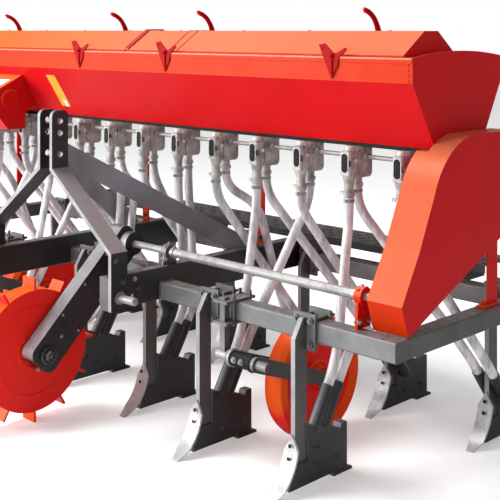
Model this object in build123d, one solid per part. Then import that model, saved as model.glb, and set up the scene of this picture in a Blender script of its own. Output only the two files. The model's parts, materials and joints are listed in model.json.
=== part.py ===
"""Tractor-mounted seed and fertiliser drill with thirteen tynes, in millimetres.

+X points to the end with the chain cover, -Y forward to the tractor, +Z up.
The origin is on the ground, below the middle of the machine's outer box.
"""
import os
from math import cos, radians, sin, tan

from build123d import *

os.makedirs("parts", exist_ok=True)

# ---- main frame -------------------------------------------------------------
FRAME_HALF = 1480          # half the length of the frame
BEAM = 65                  # square box beams
BEAM_BOTTOM = 470          # ground clearance below the beams
FRONT_BEAM_Y = -240        # front face of the outer front beams
REAR_BEAM_Y = 540          # front face of the rear beam
CENTRE_SETBACK = 130       # how far the middle cross beam lies behind the outer ones
CORNER = 6                 # outside corner radius of the box beams
CHANNEL_WIDE = 50          # the two fore-and-aft hitch members
CHANNEL_HIGH = 120

BEAM_TOP = BEAM_BOTTOM + BEAM
CHANNEL_TOP = BEAM_BOTTOM + CHANNEL_HIGH
FRONT_BEAM_BACK = FRONT_BEAM_Y + BEAM
CENTRE_BEAM_Y = FRONT_BEAM_Y + CENTRE_SETBACK
REAR_BEAM_BACK = REAR_BEAM_Y + BEAM

# ---- three-point hitch, category 2 -------------------------------------------
HITCH_SHOULDER = 412.5     # half the distance between the lower pin shoulders
LOWER_PIN_R = 14
LOWER_PIN_LONG = 92
LOWER_PIN_Z = 517
MAST_RISE = 610            # top link hole above the lower pins
TOP_HOLE_R = 12.9
HOLE_DROPS = (0, 46, 127)  # each mast hole below the top one
MAST_BAR = 16              # flat bar: thickness and width
MAST_WIDE = 74
MAST_FRONT_Y = -482
MAST_GAP_HALF = 32         # half the gap between the upright plates
MAST_TOP = 1168
MAST_FLARE_TOP = 948       # heights of the two bends in each mast bar
MAST_FLARE_BOTTOM = 678
BRACE_THICK = 12
BRACE_DEEP = 78
BRACE_HEAD_Z = 995         # where the back brace meets the mast
BRACE_END_Y = 235          # where the back brace meets the hitch member

MAST_MID_Y = MAST_FRONT_Y + MAST_WIDE / 2
MAST_BACK_Y = MAST_FRONT_Y + MAST_WIDE
TOP_HOLE_Z = LOWER_PIN_Z + MAST_RISE
CHANNEL_OUT = HITCH_SHOULDER - MAST_BAR
CHANNEL_IN = CHANNEL_OUT - CHANNEL_WIDE

# ---- tynes --------------------------------------------------------------------
TYNE_COUNT = 13
TYNE_INSET = 130           # frame end to the outermost tyne
ROW_PITCH = 2 * (FRAME_HALF - TYNE_INSET) / (TYNE_COUNT - 1)
SHANK_THICK = 18
SHANK_DEEP = 55
SHANK_FOOT = 90            # lowest point of the shank
SHOVEL_WIDE = 58
SHOVEL_THICK = 7
SHOVEL_TOP = 182
SHOVEL_REACH = 112         # tip ahead of the shank's front edge
BOOT_WIDE = 34
BOOT_BACK = 250            # rear edge of the boot behind the shank's front edge
BOOT_HIGH = 165
SOCKET_R = 21
SOCKET_LONG = 150
SOCKET_SIDE = 32           # rear row: the sockets lie either side of the shank
# columns: row, sideways places, places behind the shank's front edge, top, lean (y for each z)
SOCKETS = {
    "front": ((0, 0), (172, 224), 300, 0.6),
    "rear": ((SOCKET_SIDE, -SOCKET_SIDE), (-10, -10), 252, -0.8),
}
CLAMP_PLATE = 10
CLAMP_WIDE = 92
CLAMP_BOLT_R = 6
CLAMP_GAP = 0.5            # between a clamp bolt and the beam

# ---- hopper -------------------------------------------------------------------
SHEET = 3
COVER_INSET = 2            # frame end to the chain cover
COVER_WIDE = 134
COVER_LAP = 89             # how far the cover stands out beyond the hopper
HOPPER_INSET = 5           # the other end of the frame to the hopper
LIP_FRONT_Y = -26
LIP_TOP = 1385
LIP_BOTTOM = 1301
FLOOR_FRONT_Y = 100
FLOOR_Z = 1080
HOPPER_MID_Y = 240
CROWN_TOP = 1405
FLANGE = 40                # inward flange along the top of the lip
PARTITION_Y = 305          # wall between the front and rear boxes

COVER_OUT = FRAME_HALF - COVER_INSET
COVER_IN = COVER_OUT - COVER_WIDE
HOPPER_RIGHT = COVER_OUT - COVER_LAP
HOPPER_LEFT = HOPPER_INSET - FRAME_HALF
LIP_BACK_Y = 2 * HOPPER_MID_Y - LIP_FRONT_Y
FLOOR_BACK_Y = 2 * HOPPER_MID_Y - FLOOR_FRONT_Y

# ---- lids ---------------------------------------------------------------------
SEAT_GAP = 0.5             # between a closed lid and the flanges below it
LID_BASE = LIP_TOP + SEAT_GAP
LID_FRONT_Y = 0
LID_BACK_Y = 300
LID_TOP = 1472
LID_FLAT = (118, 196)      # the level strip along the top of the front lid
LID_INSET = 55             # hopper end to lid end
LID_SEAM = 10              # gap between the two lid halves
LID_SEAM_X = -112
HINGE_R = 6
HORN_RISE = 84
HORN_LEAN = 78
HORN_PLACES = (290, 1165)  # from the seam between the lids

# ---- metering -------------------------------------------------------------------
UNIT_INSET = 109           # hopper end to the first unit
UNIT_LAST_INSET = 55
UNIT_Y = 62                # centre of the front cup
UNIT_REAR_Y = 138          # centre of the rear outlet
UNIT_REAR_SHIFT = -24
SPIGOT_R = 17
SPIGOT_END = 890
REAR_SPIGOT_END = 915
METER_SHAFT_R = 8
METER_SHAFT_Z = 1032
METER_SHAFT_Y = 112
SHAFT_CLEAR = 0.5
TUBE_R = 17
TUBE_DROP = 64             # a tube hangs straight this far below its outlet
TUBE_BEND_MAX = 1500

UNIT_FIRST_X = HOPPER_RIGHT - UNIT_INSET
UNIT_PITCH = (UNIT_FIRST_X - HOPPER_LEFT - UNIT_LAST_INSET) / (TYNE_COUNT - 1)

# ---- drive ------------------------------------------------------------------------
SHAFT_R = 13
SHAFT_Y = -175
SHAFT_Z = 635
SHAFT_LEFT = 54
WHEEL_Y = -551
WHEEL_R = 228
LUG_HIGH = 42
LUG_COUNT = 12
WHEEL_WIDE = 84
ARM_IN = 54
ARM_WIDE = 68
ARM_DEEP = 128
ARM_CORNER = 34            # rounding of the arm's four corners
ARM_PAST = 50              # how far the arm runs on past each shaft
ARM_PLATE = 6
ARM_BOSS_R = 46
COVER_SHEET = 3

WHEEL_Z = WHEEL_R + LUG_HIGH

# ---- depth wheels ---------------------------------------------------------------------
DEPTH_SHIFT = 36           # wheel to the middle of the bay between two tynes, inward
DEPTH_Y = 90
DEPTH_R = 220
DEPTH_WIDE = 104
DEPTH_TUBE_Y = -268
DEPTH_TUBE_Z = 352
DEPTH_TUBE_R = 17

DEPTH_X = 4 * ROW_PITCH - DEPTH_SHIFT

# ---- footboard ----------------------------------------------------------------------------
BOARD_BACK_Y = 821
BOARD_DEEP = 200
BOARD_HALF = 1250
BOARD_Z = 590

nodes = {}


def add(name, *solids):
    """Keep one named piece, made of one solid or of several that don't touch."""
    nodes[name] = solids[0] if len(solids) == 1 else Compound(children=list(solids))


def block(x0, x1, y0, y1, z0, z1):
    return Pos((x0 + x1) / 2, (y0 + y1) / 2, (z0 + z1) / 2) * Box(x1 - x0, y1 - y0, z1 - z0)


def rod_x(r, x0, x1, y, z):
    return Pos((x0 + x1) / 2, y, z) * Rot(0, 90, 0) * Cylinder(r, x1 - x0)


def rod_y(r, x, y0, y1, z):
    return Pos(x, (y0 + y1) / 2, z) * Rot(90, 0, 0) * Cylinder(r, y1 - y0)


def rod_z(r, x, y, z0, z1):
    return Pos(x, y, (z0 + z1) / 2) * Cylinder(r, z1 - z0)


def side_plate(outline, x0, x1):
    """Extrude a closed outline of (y, z) points, or of edges, from x0 to x1."""
    edges = Polyline(*outline, close=True) if isinstance(outline[0], tuple) else outline
    return extrude(Plane.YZ.offset(x0) * make_face(edges), x1 - x0)


def front_plate(points, y0, y1):
    """Extrude a closed outline of (x, z) points from y0 to y1."""
    face = Plane((0, y0, 0), x_dir=(1, 0, 0), z_dir=(0, -1, 0)) * make_face(Polyline(*points, close=True))
    return extrude(face, y0 - y1)


def bent_strip(points, thick):
    """Outline of a sheet that follows the points, its thickness to the left of its way."""
    def edge_line(a, b):
        run, rise = b[0] - a[0], b[1] - a[1]
        size = (run ** 2 + rise ** 2) ** 0.5
        return (-rise / size * thick, run / size * thick), (run / size, rise / size)

    offsets = [edge_line(a, b) for a, b in zip(points, points[1:])]
    back = []
    for i, p in enumerate(points):
        before, after = offsets[max(i - 1, 0)], offsets[min(i, len(offsets) - 1)]
        sum_x, sum_z = before[0][0] + after[0][0], before[0][1] + after[0][1]
        scale = 2 * thick ** 2 / (sum_x ** 2 + sum_z ** 2)
        back.append((p[0] + sum_x * scale, p[1] + sum_z * scale))
    return list(points) + back[::-1]


def strut(start, end, thick, deep):
    """A flat bar between two points, standing on edge."""
    way = end - start
    plane = Plane(start, x_dir=Vector(-way.Y, way.X, 0), z_dir=way)
    return extrude(plane * Rectangle(thick, deep), way.length)


def hex_bar_y(across, x, y0, y1, z):
    face = Plane((x, y0, z), z_dir=(0, 1, 0)) * RegularPolygon(across / 2, 6, major_radius=False)
    return extrude(face, y1 - y0)


# ---- main frame -------------------------------------------------------------
def beam_x(x0, x1, y):
    bar = block(x0, x1, y, y + BEAM, BEAM_BOTTOM, BEAM_TOP)
    return fillet(bar.edges().filter_by(Axis.X), CORNER)


add("front_beam_right", beam_x(CHANNEL_OUT, FRAME_HALF, FRONT_BEAM_Y))
add("front_beam_left", beam_x(-FRAME_HALF, -CHANNEL_OUT, FRONT_BEAM_Y))
add("centre_beam", beam_x(-CHANNEL_IN, CHANNEL_IN, CENTRE_BEAM_Y))
add("rear_beam", beam_x(-FRAME_HALF, FRAME_HALF, REAR_BEAM_Y))
for side, name in ((1, "right"), (-1, "left")):
    outer, inner = side * FRAME_HALF, side * (FRAME_HALF - BEAM)
    end = block(min(outer, inner), max(outer, inner), FRONT_BEAM_BACK, REAR_BEAM_Y, BEAM_BOTTOM, BEAM_TOP)
    add(f"end_beam_{name}", fillet(end.edges().filter_by(Axis.Y), CORNER))
    outer, inner = side * CHANNEL_OUT, side * CHANNEL_IN
    member = block(min(outer, inner), max(outer, inner), MAST_FRONT_Y, REAR_BEAM_Y, BEAM_BOTTOM, CHANNEL_TOP)
    add(f"hitch_member_{name}", fillet(member.edges().filter_by(Axis.Y), CORNER))

# ---- hitch mast ---------------------------------------------------------------
mast_line = [
    (MAST_GAP_HALF + MAST_BAR, MAST_TOP),
    (MAST_GAP_HALF + MAST_BAR, MAST_FLARE_TOP),
    (HITCH_SHOULDER, MAST_FLARE_BOTTOM),
    (HITCH_SHOULDER, BEAM_BOTTOM),
]
mast_bar = front_plate(bent_strip(mast_line, -MAST_BAR), MAST_FRONT_Y, MAST_BACK_Y)
top_edges = mast_bar.edges().filter_by(Axis.X).sort_by(Axis.Z)[-2:]
mast_bar = fillet(top_edges, MAST_WIDE / 3)
for hole_z in [TOP_HOLE_Z - drop for drop in HOLE_DROPS]:
    mast_bar -= rod_x(TOP_HOLE_R, 0, 2 * MAST_WIDE, MAST_MID_Y, hole_z)
lower_pin = rod_x(LOWER_PIN_R, HITCH_SHOULDER, HITCH_SHOULDER + LOWER_PIN_LONG, MAST_MID_Y, LOWER_PIN_Z)
lower_pin = chamfer(lower_pin.edges().sort_by(Axis.X)[-1], LOWER_PIN_R / 4)
brace_head = Vector(MAST_GAP_HALF + MAST_BAR / 2, MAST_BACK_Y, BRACE_HEAD_Z)
brace_foot = Vector((CHANNEL_OUT + CHANNEL_IN) / 2, BRACE_END_Y, CHANNEL_TOP)
brace_spare = 0.12 * (brace_foot - brace_head)
brace = strut(brace_head - brace_spare, brace_foot + brace_spare, BRACE_THICK, BRACE_DEEP)
brace -= block(-FRAME_HALF, FRAME_HALF, -FRAME_HALF, FRAME_HALF, 0, CHANNEL_TOP)
brace -= block(-FRAME_HALF, FRAME_HALF, -FRAME_HALF, MAST_BACK_Y, 0, 2 * MAST_TOP)
for shape, name in ((mast_bar, "mast_bar"), (lower_pin, "lower_pin"), (brace, "back_brace")):
    add(f"{name}_right", shape)
    add(f"{name}_left", mirror(shape, about=Plane.YZ))

# ---- tynes, one group for each row ---------------------------------------------
# columns: row name, face that the clamp plate sits on, tyne numbers
centre_tynes = (TYNE_COUNT // 2 - 1, TYNE_COUNT // 2 + 1)
ROWS = (
    ("rear", REAR_BEAM_Y, [k for k in range(0, TYNE_COUNT, 2)]),
    ("front", FRONT_BEAM_Y, [k for k in range(1, TYNE_COUNT, 2)]),
)


def tyne_x(k):
    return ROW_PITCH * ((TYNE_COUNT - 1) / 2 - k)


def tyne_face(k):
    """Front face of the beam that carries tyne k."""
    if k % 2 == 0:
        return REAR_BEAM_Y
    return CENTRE_BEAM_Y if k in centre_tynes else FRONT_BEAM_Y


def tyne_front(k):
    return tyne_face(k) - CLAMP_PLATE - SHANK_DEEP


def shank(x, front):
    back = front + SHANK_DEEP
    neck, top = BEAM_BOTTOM + 18, BEAM_TOP + 14
    outline = [(front, SHANK_FOOT), (back, SHANK_FOOT), (back, top), (front + 38, top), (front, neck)]
    return side_plate(outline, x - SHANK_THICK / 2, x + SHANK_THICK / 2)


def shovel(x, front):
    """A curved reversible point: upright at its top, swept forward at its tip."""
    low_y, bulge = front - SHOVEL_REACH, (front - 27, SHOVEL_TOP / 2.6)
    thin = SHOVEL_THICK
    outline = [
        ThreePointArc((front, SHOVEL_TOP), bulge, (low_y + thin, 0)),
        Line((low_y + thin, 0), (low_y, 0)),
        ThreePointArc((low_y, 0), (bulge[0] - thin, bulge[1] + thin / 2), (front - thin, SHOVEL_TOP)),
        Line((front - thin, SHOVEL_TOP), (front, SHOVEL_TOP)),
    ]
    blade = side_plate(outline, x - SHOVEL_WIDE / 2, x + SHOVEL_WIDE / 2)
    half, slope = SHOVEL_WIDE / 2, 46
    mask = [(x, SHOVEL_TOP), (x - half, SHOVEL_TOP - slope), (x - half, slope * 0.6), (x - half / 2, 0),
            (x + half / 2, 0), (x + half, slope * 0.6), (x + half, SHOVEL_TOP - slope)]
    return (blade & front_plate(mask, front - 2 * SHOVEL_REACH, front + SHANK_DEEP)) - shank(x, front)


def socket_ends(k, outlet):
    """Top of one tube socket of tyne k and the way the tube leaves it."""
    sides, places, top, lean = SOCKETS["rear" if k % 2 == 0 else "front"]
    return Vector(tyne_x(k) + sides[outlet], tyne_front(k) + places[outlet], top), Vector(0, lean, 1).normalized()


def boot(k):
    """Thin box behind the shank, with two sockets for the tubes and a foot."""
    x, front = tyne_x(k), tyne_front(k)
    back, rear = front + SHANK_DEEP, front + BOOT_BACK
    outline = [(back - 90, 14), (rear, 14), (rear, BOOT_HIGH), (rear - 28, BOOT_HIGH), (rear - 34, BOOT_HIGH - 16),
               (rear - 60, BOOT_HIGH - 4), (back, BOOT_HIGH + 40), (back, SHANK_FOOT), (back - 55, SHANK_FOOT)]
    body = side_plate(outline, x - BOOT_WIDE / 2, x + BOOT_WIDE / 2)
    body += side_plate([(rear - 70, 0), (rear + 26, 0), (rear + 26, 8), (rear, 14), (rear - 70, 14)],
                       x - SHANK_THICK, x + SHANK_THICK)
    for outlet in (0, 1):
        top, way = socket_ends(k, outlet)
        body += extrude(Plane(top, z_dir=-way) * Circle(SOCKET_R), SOCKET_LONG)
    return body - shank(x, front)


def clamp(x, face, depth):
    """Plates before and behind the beam, drawn together by four bolts."""
    low, high = BEAM_BOTTOM - 26, BEAM_TOP + 26
    plates = block(x - CLAMP_WIDE / 2, x + CLAMP_WIDE / 2, face - CLAMP_PLATE, face, low, high)
    plates += block(x - CLAMP_WIDE / 2, x + CLAMP_WIDE / 2, face + depth, face + depth + CLAMP_PLATE, low, high)
    for dx in (-CLAMP_WIDE / 3, CLAMP_WIDE / 3):
        for z in (BEAM_BOTTOM - CLAMP_BOLT_R - CLAMP_GAP, BEAM_TOP + CLAMP_BOLT_R + CLAMP_GAP):
            plates += rod_y(CLAMP_BOLT_R, x + dx, face - 26, face + depth + 34, z)
            for y in (face - CLAMP_PLATE - 9, face + depth + CLAMP_PLATE):
                plates += hex_bar_y(19, x + dx, y, y + 9, z)
    return plates


for row, face, numbers in ROWS:
    add(f"{row}_shanks", *[shank(tyne_x(k), tyne_front(k)) for k in numbers])
    add(f"{row}_shovels", *[shovel(tyne_x(k), tyne_front(k)) for k in numbers])
    add(f"{row}_boots", *[boot(k) for k in numbers])
    add(f"{row}_clamps", *[clamp(tyne_x(k), tyne_face(k), BEAM) for k in numbers])

# ---- hopper: bent sheets between two end panels, with a partition ----------------
sheet_x0, sheet_x1 = HOPPER_LEFT + SHEET, HOPPER_RIGHT - SHEET
front_sheet = side_plate(bent_strip(
    [(LIP_FRONT_Y + FLANGE, LIP_TOP), (LIP_FRONT_Y, LIP_TOP), (LIP_FRONT_Y, LIP_BOTTOM), (FLOOR_FRONT_Y, FLOOR_Z)],
    SHEET), sheet_x0, sheet_x1)
add("hopper_front", front_sheet)
add("hopper_rear", mirror(front_sheet, about=Plane((0, HOPPER_MID_Y, 0), z_dir=(0, 1, 0))))
add("hopper_floor", block(sheet_x0, sheet_x1, FLOOR_FRONT_Y + SHEET, FLOOR_BACK_Y - SHEET, FLOOR_Z, FLOOR_Z + SHEET))


def end_panel(x0):
    outline = [
        ThreePointArc((LIP_FRONT_Y, LIP_TOP), (HOPPER_MID_Y, CROWN_TOP), (LIP_BACK_Y, LIP_TOP)),
        Polyline((LIP_BACK_Y, LIP_TOP), (LIP_BACK_Y, LIP_BOTTOM), (FLOOR_BACK_Y, FLOOR_Z), (FLOOR_FRONT_Y, FLOOR_Z),
                 (LIP_FRONT_Y, LIP_BOTTOM), (LIP_FRONT_Y, LIP_TOP)),
    ]
    return side_plate([edge for line in outline for edge in line.edges()], x0, x0 + SHEET)


add("hopper_end_right", end_panel(sheet_x1))
add("hopper_end_left", end_panel(HOPPER_LEFT))
deck_z = LIP_TOP - SHEET
partition = block(sheet_x0, sheet_x1, PARTITION_Y, PARTITION_Y + SHEET, FLOOR_Z + SHEET, deck_z)
partition += block(sheet_x0, sheet_x1, PARTITION_Y - 8, PARTITION_Y + 40, deck_z, LIP_TOP)
add("hopper_partition", partition)

# level covers between the flanges, from each end panel to just under the lids
DECK_WIDE = LID_INSET + 20
decks = []
for deck_x0 in (sheet_x0, sheet_x1 - DECK_WIDE):
    for y0, y1 in ((LIP_FRONT_Y + FLANGE, PARTITION_Y - 8), (PARTITION_Y + 40, LIP_BACK_Y - FLANGE)):
        decks.append(block(deck_x0, deck_x0 + DECK_WIDE, y0, y1, deck_z, LIP_TOP))
add("hopper_decks", *decks)

# ---- lids -----------------------------------------------------------------------
lid_right, lid_left = HOPPER_RIGHT - LID_INSET, HOPPER_LEFT + LID_INSET
lid_halves = (
    ("right", LID_SEAM_X + LID_SEAM / 2, lid_right),
    ("left", lid_left, LID_SEAM_X - LID_SEAM / 2),
)
LID_EDGE = 6


def hollow_lid(x0, x1):
    """A pressed cover: front slope, level top and rear slope, with closed ends."""
    outline = [(LID_FRONT_Y, LID_BASE), (LID_BACK_Y, LID_BASE), (LID_BACK_Y, LID_BASE + LID_EDGE),
               (LID_FLAT[1], LID_TOP), (LID_FLAT[0], LID_TOP), (LID_FRONT_Y, LID_BASE + LID_EDGE)]
    inside = [(y + (SHEET if y < HOPPER_MID_Y / 1.5 else -SHEET), z - SHEET) for y, z in outline]
    return side_plate(outline, x0, x1) - side_plate(inside, x0 + SHEET, x1 - SHEET)


def horn(x):
    """Curved stop that the opened lid leans on."""
    root = LID_FLAT[1] + 30
    tip_y, tip_z = root - HORN_LEAN, LID_TOP + HORN_RISE
    outline = [
        Line((root, LID_TOP - 24), (root + 26, LID_TOP - 40)),
        ThreePointArc((root + 26, LID_TOP - 40), (root - 4, LID_TOP + 38), (tip_y, tip_z)),
        Line((tip_y, tip_z), (tip_y - 6, tip_z - 9)),
        ThreePointArc((tip_y - 6, tip_z - 9), (root - 20, LID_TOP + 30), (root, LID_TOP - 24)),
    ]
    return side_plate(outline, x - 4, x + 4)


for name, x0, x1 in lid_halves:
    lid = hollow_lid(x0, x1)
    for place in HORN_PLACES:
        lid += horn(LID_SEAM_X + (place if name == "right" else -place))
    knuckle_y, knuckle_z = LID_BACK_Y + HINGE_R + 2, LID_BASE + HINGE_R
    for share in (0.15, 0.5, 0.85):
        x = x0 + share * (x1 - x0)
        lid += rod_x(HINGE_R, x - 40, x + 40, knuckle_y, knuckle_z)
        lid += block(x - 40, x + 40, LID_BACK_Y - 2, knuckle_y, LID_BASE, LID_BASE + SHEET)
    add(f"front_lid_{name}", lid)
    rear_lid = block(x0, x1, PARTITION_Y + 34, LIP_BACK_Y - 14, LID_BASE, LID_BASE + SHEET)
    for share in (0.15, 0.5, 0.85):
        x = x0 + share * (x1 - x0)
        rear_lid += rod_x(HINGE_R, x - 40, x + 40, LIP_BACK_Y - 14, LID_BASE + HINGE_R)
    add(f"rear_lid_{name}", rear_lid)

CATCH_THICK = 6
# columns: places beside the middle of the catch, height above the top of the lip
CATCH_OUTLINE = (
    (0, -76), (26, -34), (32, -4), (66, 22), (60, 30), (26, 12), (6, 12), (-30, 44), (-56, 40), (-38, 0), (-20, -36),
)


def lid_catch(x):
    """Forked bracket on the lip that holds the lid's front edge."""
    points = [(x + beside, LIP_TOP + above) for beside, above in CATCH_OUTLINE]
    return front_plate(points, LIP_FRONT_Y - CATCH_THICK, LIP_FRONT_Y)


add("lid_catches", *[lid_catch(LID_SEAM_X + side * place) for place in HORN_PLACES for side in (-1, 1)])

# ---- seed-rate gear box on the front of the hopper -------------------------------
GEARBOX = dict(x0=-1215, x1=-893, front=-128, top=1262, bottom=1006)
front_line = (FLOOR_FRONT_Y - LIP_FRONT_Y) / (FLOOR_Z - LIP_BOTTOM)


def hopper_front_y(z):
    """Outer face of the slanting front sheet at a height."""
    return LIP_FRONT_Y + front_line * (z - LIP_BOTTOM) - 0.3


gear_side = [(hopper_front_y(GEARBOX["top"]), GEARBOX["top"]), (GEARBOX["front"], GEARBOX["top"] - 62),
             (GEARBOX["front"], GEARBOX["bottom"] + 58), (GEARBOX["front"] + 46, GEARBOX["bottom"]),
             (UNIT_Y - 50, GEARBOX["bottom"]), (UNIT_Y - 50, FLOOR_Z), (hopper_front_y(FLOOR_Z + 40), FLOOR_Z + 40)]
add("rate_gearbox", side_plate(gear_side, GEARBOX["x0"], GEARBOX["x1"]))
lever = rod_y(7, -1040, GEARBOX["front"] - 46, GEARBOX["front"], 1160)
lever += block(-1048, -1032, GEARBOX["front"] - 52, GEARBOX["front"] - 42, 1080, 1182)
add("rate_lever", lever)

# ---- metering units under the front edge of the hopper floor ---------------------
def unit_x(k):
    return UNIT_FIRST_X - UNIT_PITCH * k


def metering_unit(x):
    """Cast housing: front cup with a slot, cap, body behind and two outlets."""
    cup = block(x - 22, x + 22, UNIT_Y - 24, UNIT_Y + 22, 968, 1052)
    cup = fillet(cup.edges().filter_by(Axis.Z), 8)
    slot = extrude(Plane((x, UNIT_Y - 24, 1012), z_dir=(0, 1, 0)) * SlotOverall(58, 22, rotation=90), 14)
    cup -= slot
    neck = Pos(x, UNIT_Y, 954) * Cone(SPIGOT_R, 24, 28)
    body = block(x - 40, x + 22, UNIT_Y + 22, UNIT_REAR_Y + 26, 958, FLOOR_Z - 14)
    body = fillet(body.edges().filter_by(Axis.X).sort_by(Axis.Z)[:2], 18)
    flange = block(x - 46, x + 30, FLOOR_FRONT_Y + 4, UNIT_REAR_Y + 34, FLOOR_Z - 14, FLOOR_Z)
    cap = extrude(Plane((x, UNIT_Y, 1052), z_dir=(0, 0, 1)) * RegularPolygon(13, 6), 18)
    spigot = rod_z(SPIGOT_R, x, UNIT_Y, SPIGOT_END, 942)
    ring = rod_z(SPIGOT_R + 5, x, UNIT_Y, SPIGOT_END + 8, SPIGOT_END + 22)
    ear = block(x - 34, x, UNIT_Y - 9, UNIT_Y + 3, SPIGOT_END + 10, SPIGOT_END + 20)
    rear_x = x + UNIT_REAR_SHIFT
    rear = rod_z(SPIGOT_R, rear_x, UNIT_REAR_Y, REAR_SPIGOT_END, 962)
    rear_ring = rod_z(SPIGOT_R + 4, rear_x, UNIT_REAR_Y, REAR_SPIGOT_END + 6, REAR_SPIGOT_END + 18)
    whole = cup + neck + body + flange + cap + spigot + ring + ear + rear + rear_ring
    return whole - rod_x(METER_SHAFT_R + SHAFT_CLEAR, x - 60, x + 60, METER_SHAFT_Y, METER_SHAFT_Z)


add("metering_units", *[metering_unit(unit_x(k)) for k in range(TYNE_COUNT)])
meter_end = COVER_IN + 40
meter_shaft = rod_x(METER_SHAFT_R, unit_x(TYNE_COUNT - 1) - 50, meter_end, METER_SHAFT_Y, METER_SHAFT_Z)
for k in range(TYNE_COUNT):
    meter_shaft += rod_x(METER_SHAFT_R + 6, unit_x(k) + 36, unit_x(k) + 48, METER_SHAFT_Y, METER_SHAFT_Z)
meter_shaft += rod_x(34, meter_end - 10, meter_end, METER_SHAFT_Y, METER_SHAFT_Z)
add("metering_shaft", meter_shaft)

# ---- seed and fertiliser tubes ------------------------------------------------------
# neighbouring units swap their rear outlets; units beside a hitch member keep their own
KEEP_OWN = (4, 5, 6, 7, 12)
PAIRS = ((0, 1), (2, 3), (8, 9), (10, 11))
partner = {k: k for k in KEEP_OWN}
for a, b in PAIRS:
    partner.update({a: b, b: a})
# columns: unit, outlet (0 front, 1 rear) -> a point that keeps the tube off a brace or a beam
VIA = {
    (4, 1): (446, 236, 770),
    (7, 0): (-192, 40, 800),
    (7, 1): (-196, 118, 790),
    (12, 1): (-1386, 250, 700),
}


def tube(k, outlet):
    start_x = unit_x(k) + (UNIT_REAR_SHIFT if outlet else 0)
    start = (start_x, UNIT_REAR_Y if outlet else UNIT_Y, REAR_SPIGOT_END if outlet else SPIGOT_END)
    boot_k = partner[k] if outlet else k
    end, way = socket_ends(boot_k, outlet)
    points = [start, (start[0], start[1], start[2] - TUBE_DROP)]
    if (k, outlet) in VIA:
        points.append(VIA[k, outlet])
    points += [tuple(end + 84 * way), tuple(end)]
    vectors = [Vector(*p) for p in points]
    radii = []
    for i, (before, here, after) in enumerate(zip(vectors, vectors[1:], vectors[2:])):
        run_in, run_out = (here - before).length, (after - here).length
        room = min(run_in * (0.92 if i == 0 else 0.45), run_out * (0.92 if i == len(vectors) - 3 else 0.45))
        turn = radians((here - before).get_angle(after - here))
        radii.append(min(room / tan(turn / 2), TUBE_BEND_MAX))
    path = FilletPolyline(*points, radius=radii)
    return sweep(Plane(start, z_dir=(0, 0, -1)) * Circle(TUBE_R), path=path)


for outlet, name in ((0, "front_outlet_tubes"), (1, "rear_outlet_tubes")):
    add(name, *[tube(k, outlet) for k in range(TYNE_COUNT)])

# ---- drive shaft and its bearings -----------------------------------------------------
drive_end = COVER_IN + 56
drive_shaft = rod_x(SHAFT_R, SHAFT_LEFT - 42, drive_end, SHAFT_Y, SHAFT_Z)
drive_shaft += rod_x(20, drive_end - 12, drive_end, SHAFT_Y, SHAFT_Z)
add("drive_shaft", drive_shaft)


def bearing(x, base_z):
    """Upright plate with a round housing about the shaft."""
    plate = side_plate([(SHAFT_Y - 34, base_z), (SHAFT_Y + 34, base_z), (SHAFT_Y + 24, SHAFT_Z + 26),
                        (SHAFT_Y - 24, SHAFT_Z + 26)], x - 5, x + 5)
    housing = rod_x(30, x - 14, x + 14, SHAFT_Y, SHAFT_Z)
    return plate + housing - rod_x(SHAFT_R + SHAFT_CLEAR, x - 30, x + 30, SHAFT_Y, SHAFT_Z)


BEARING_X = (CHANNEL_OUT - CHANNEL_WIDE / 2, COVER_IN - 40)
add("inner_bearing", bearing(BEARING_X[0], CHANNEL_TOP))
add("outer_bearing", bearing(BEARING_X[1], BEAM_TOP))

# ---- ground drive wheel on its swinging arm ----------------------------------------------
half = WHEEL_WIDE / 2
wheel = rod_x(WHEEL_R, half - 5, half, WHEEL_Y, WHEEL_Z)
rim = rod_x(WHEEL_R, -half, half, WHEEL_Y, WHEEL_Z) - rod_x(WHEEL_R - 5, -half - 1, half + 1, WHEEL_Y, WHEEL_Z)
wheel += rim
wheel += rod_x(WHEEL_R - 60, half, half + 4, WHEEL_Y, WHEEL_Z) - rod_x(
    WHEEL_R - 66, half - 1, half + 6, WHEEL_Y, WHEEL_Z)
wheel += rod_x(34, -half - 6, half + 6, WHEEL_Y, WHEEL_Z)
lug = Pos(0, 0, -WHEEL_R - LUG_HIGH / 2 + 1) * Box(WHEEL_WIDE * 0.92, 8, LUG_HIGH + 2)
for k in range(LUG_COUNT):
    wheel += Pos(0, WHEEL_Y, WHEEL_Z) * Rot(360 / LUG_COUNT * k, 0, 0) * lug
wheel += rod_x(15, -half - 12, ARM_IN + ARM_WIDE + 16, WHEEL_Y, WHEEL_Z)
wheel += rod_x(33, ARM_IN + ARM_PLATE + 14, ARM_IN + ARM_PLATE + 22, WHEEL_Y, WHEEL_Z)
add("ground_wheel", wheel)

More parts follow.
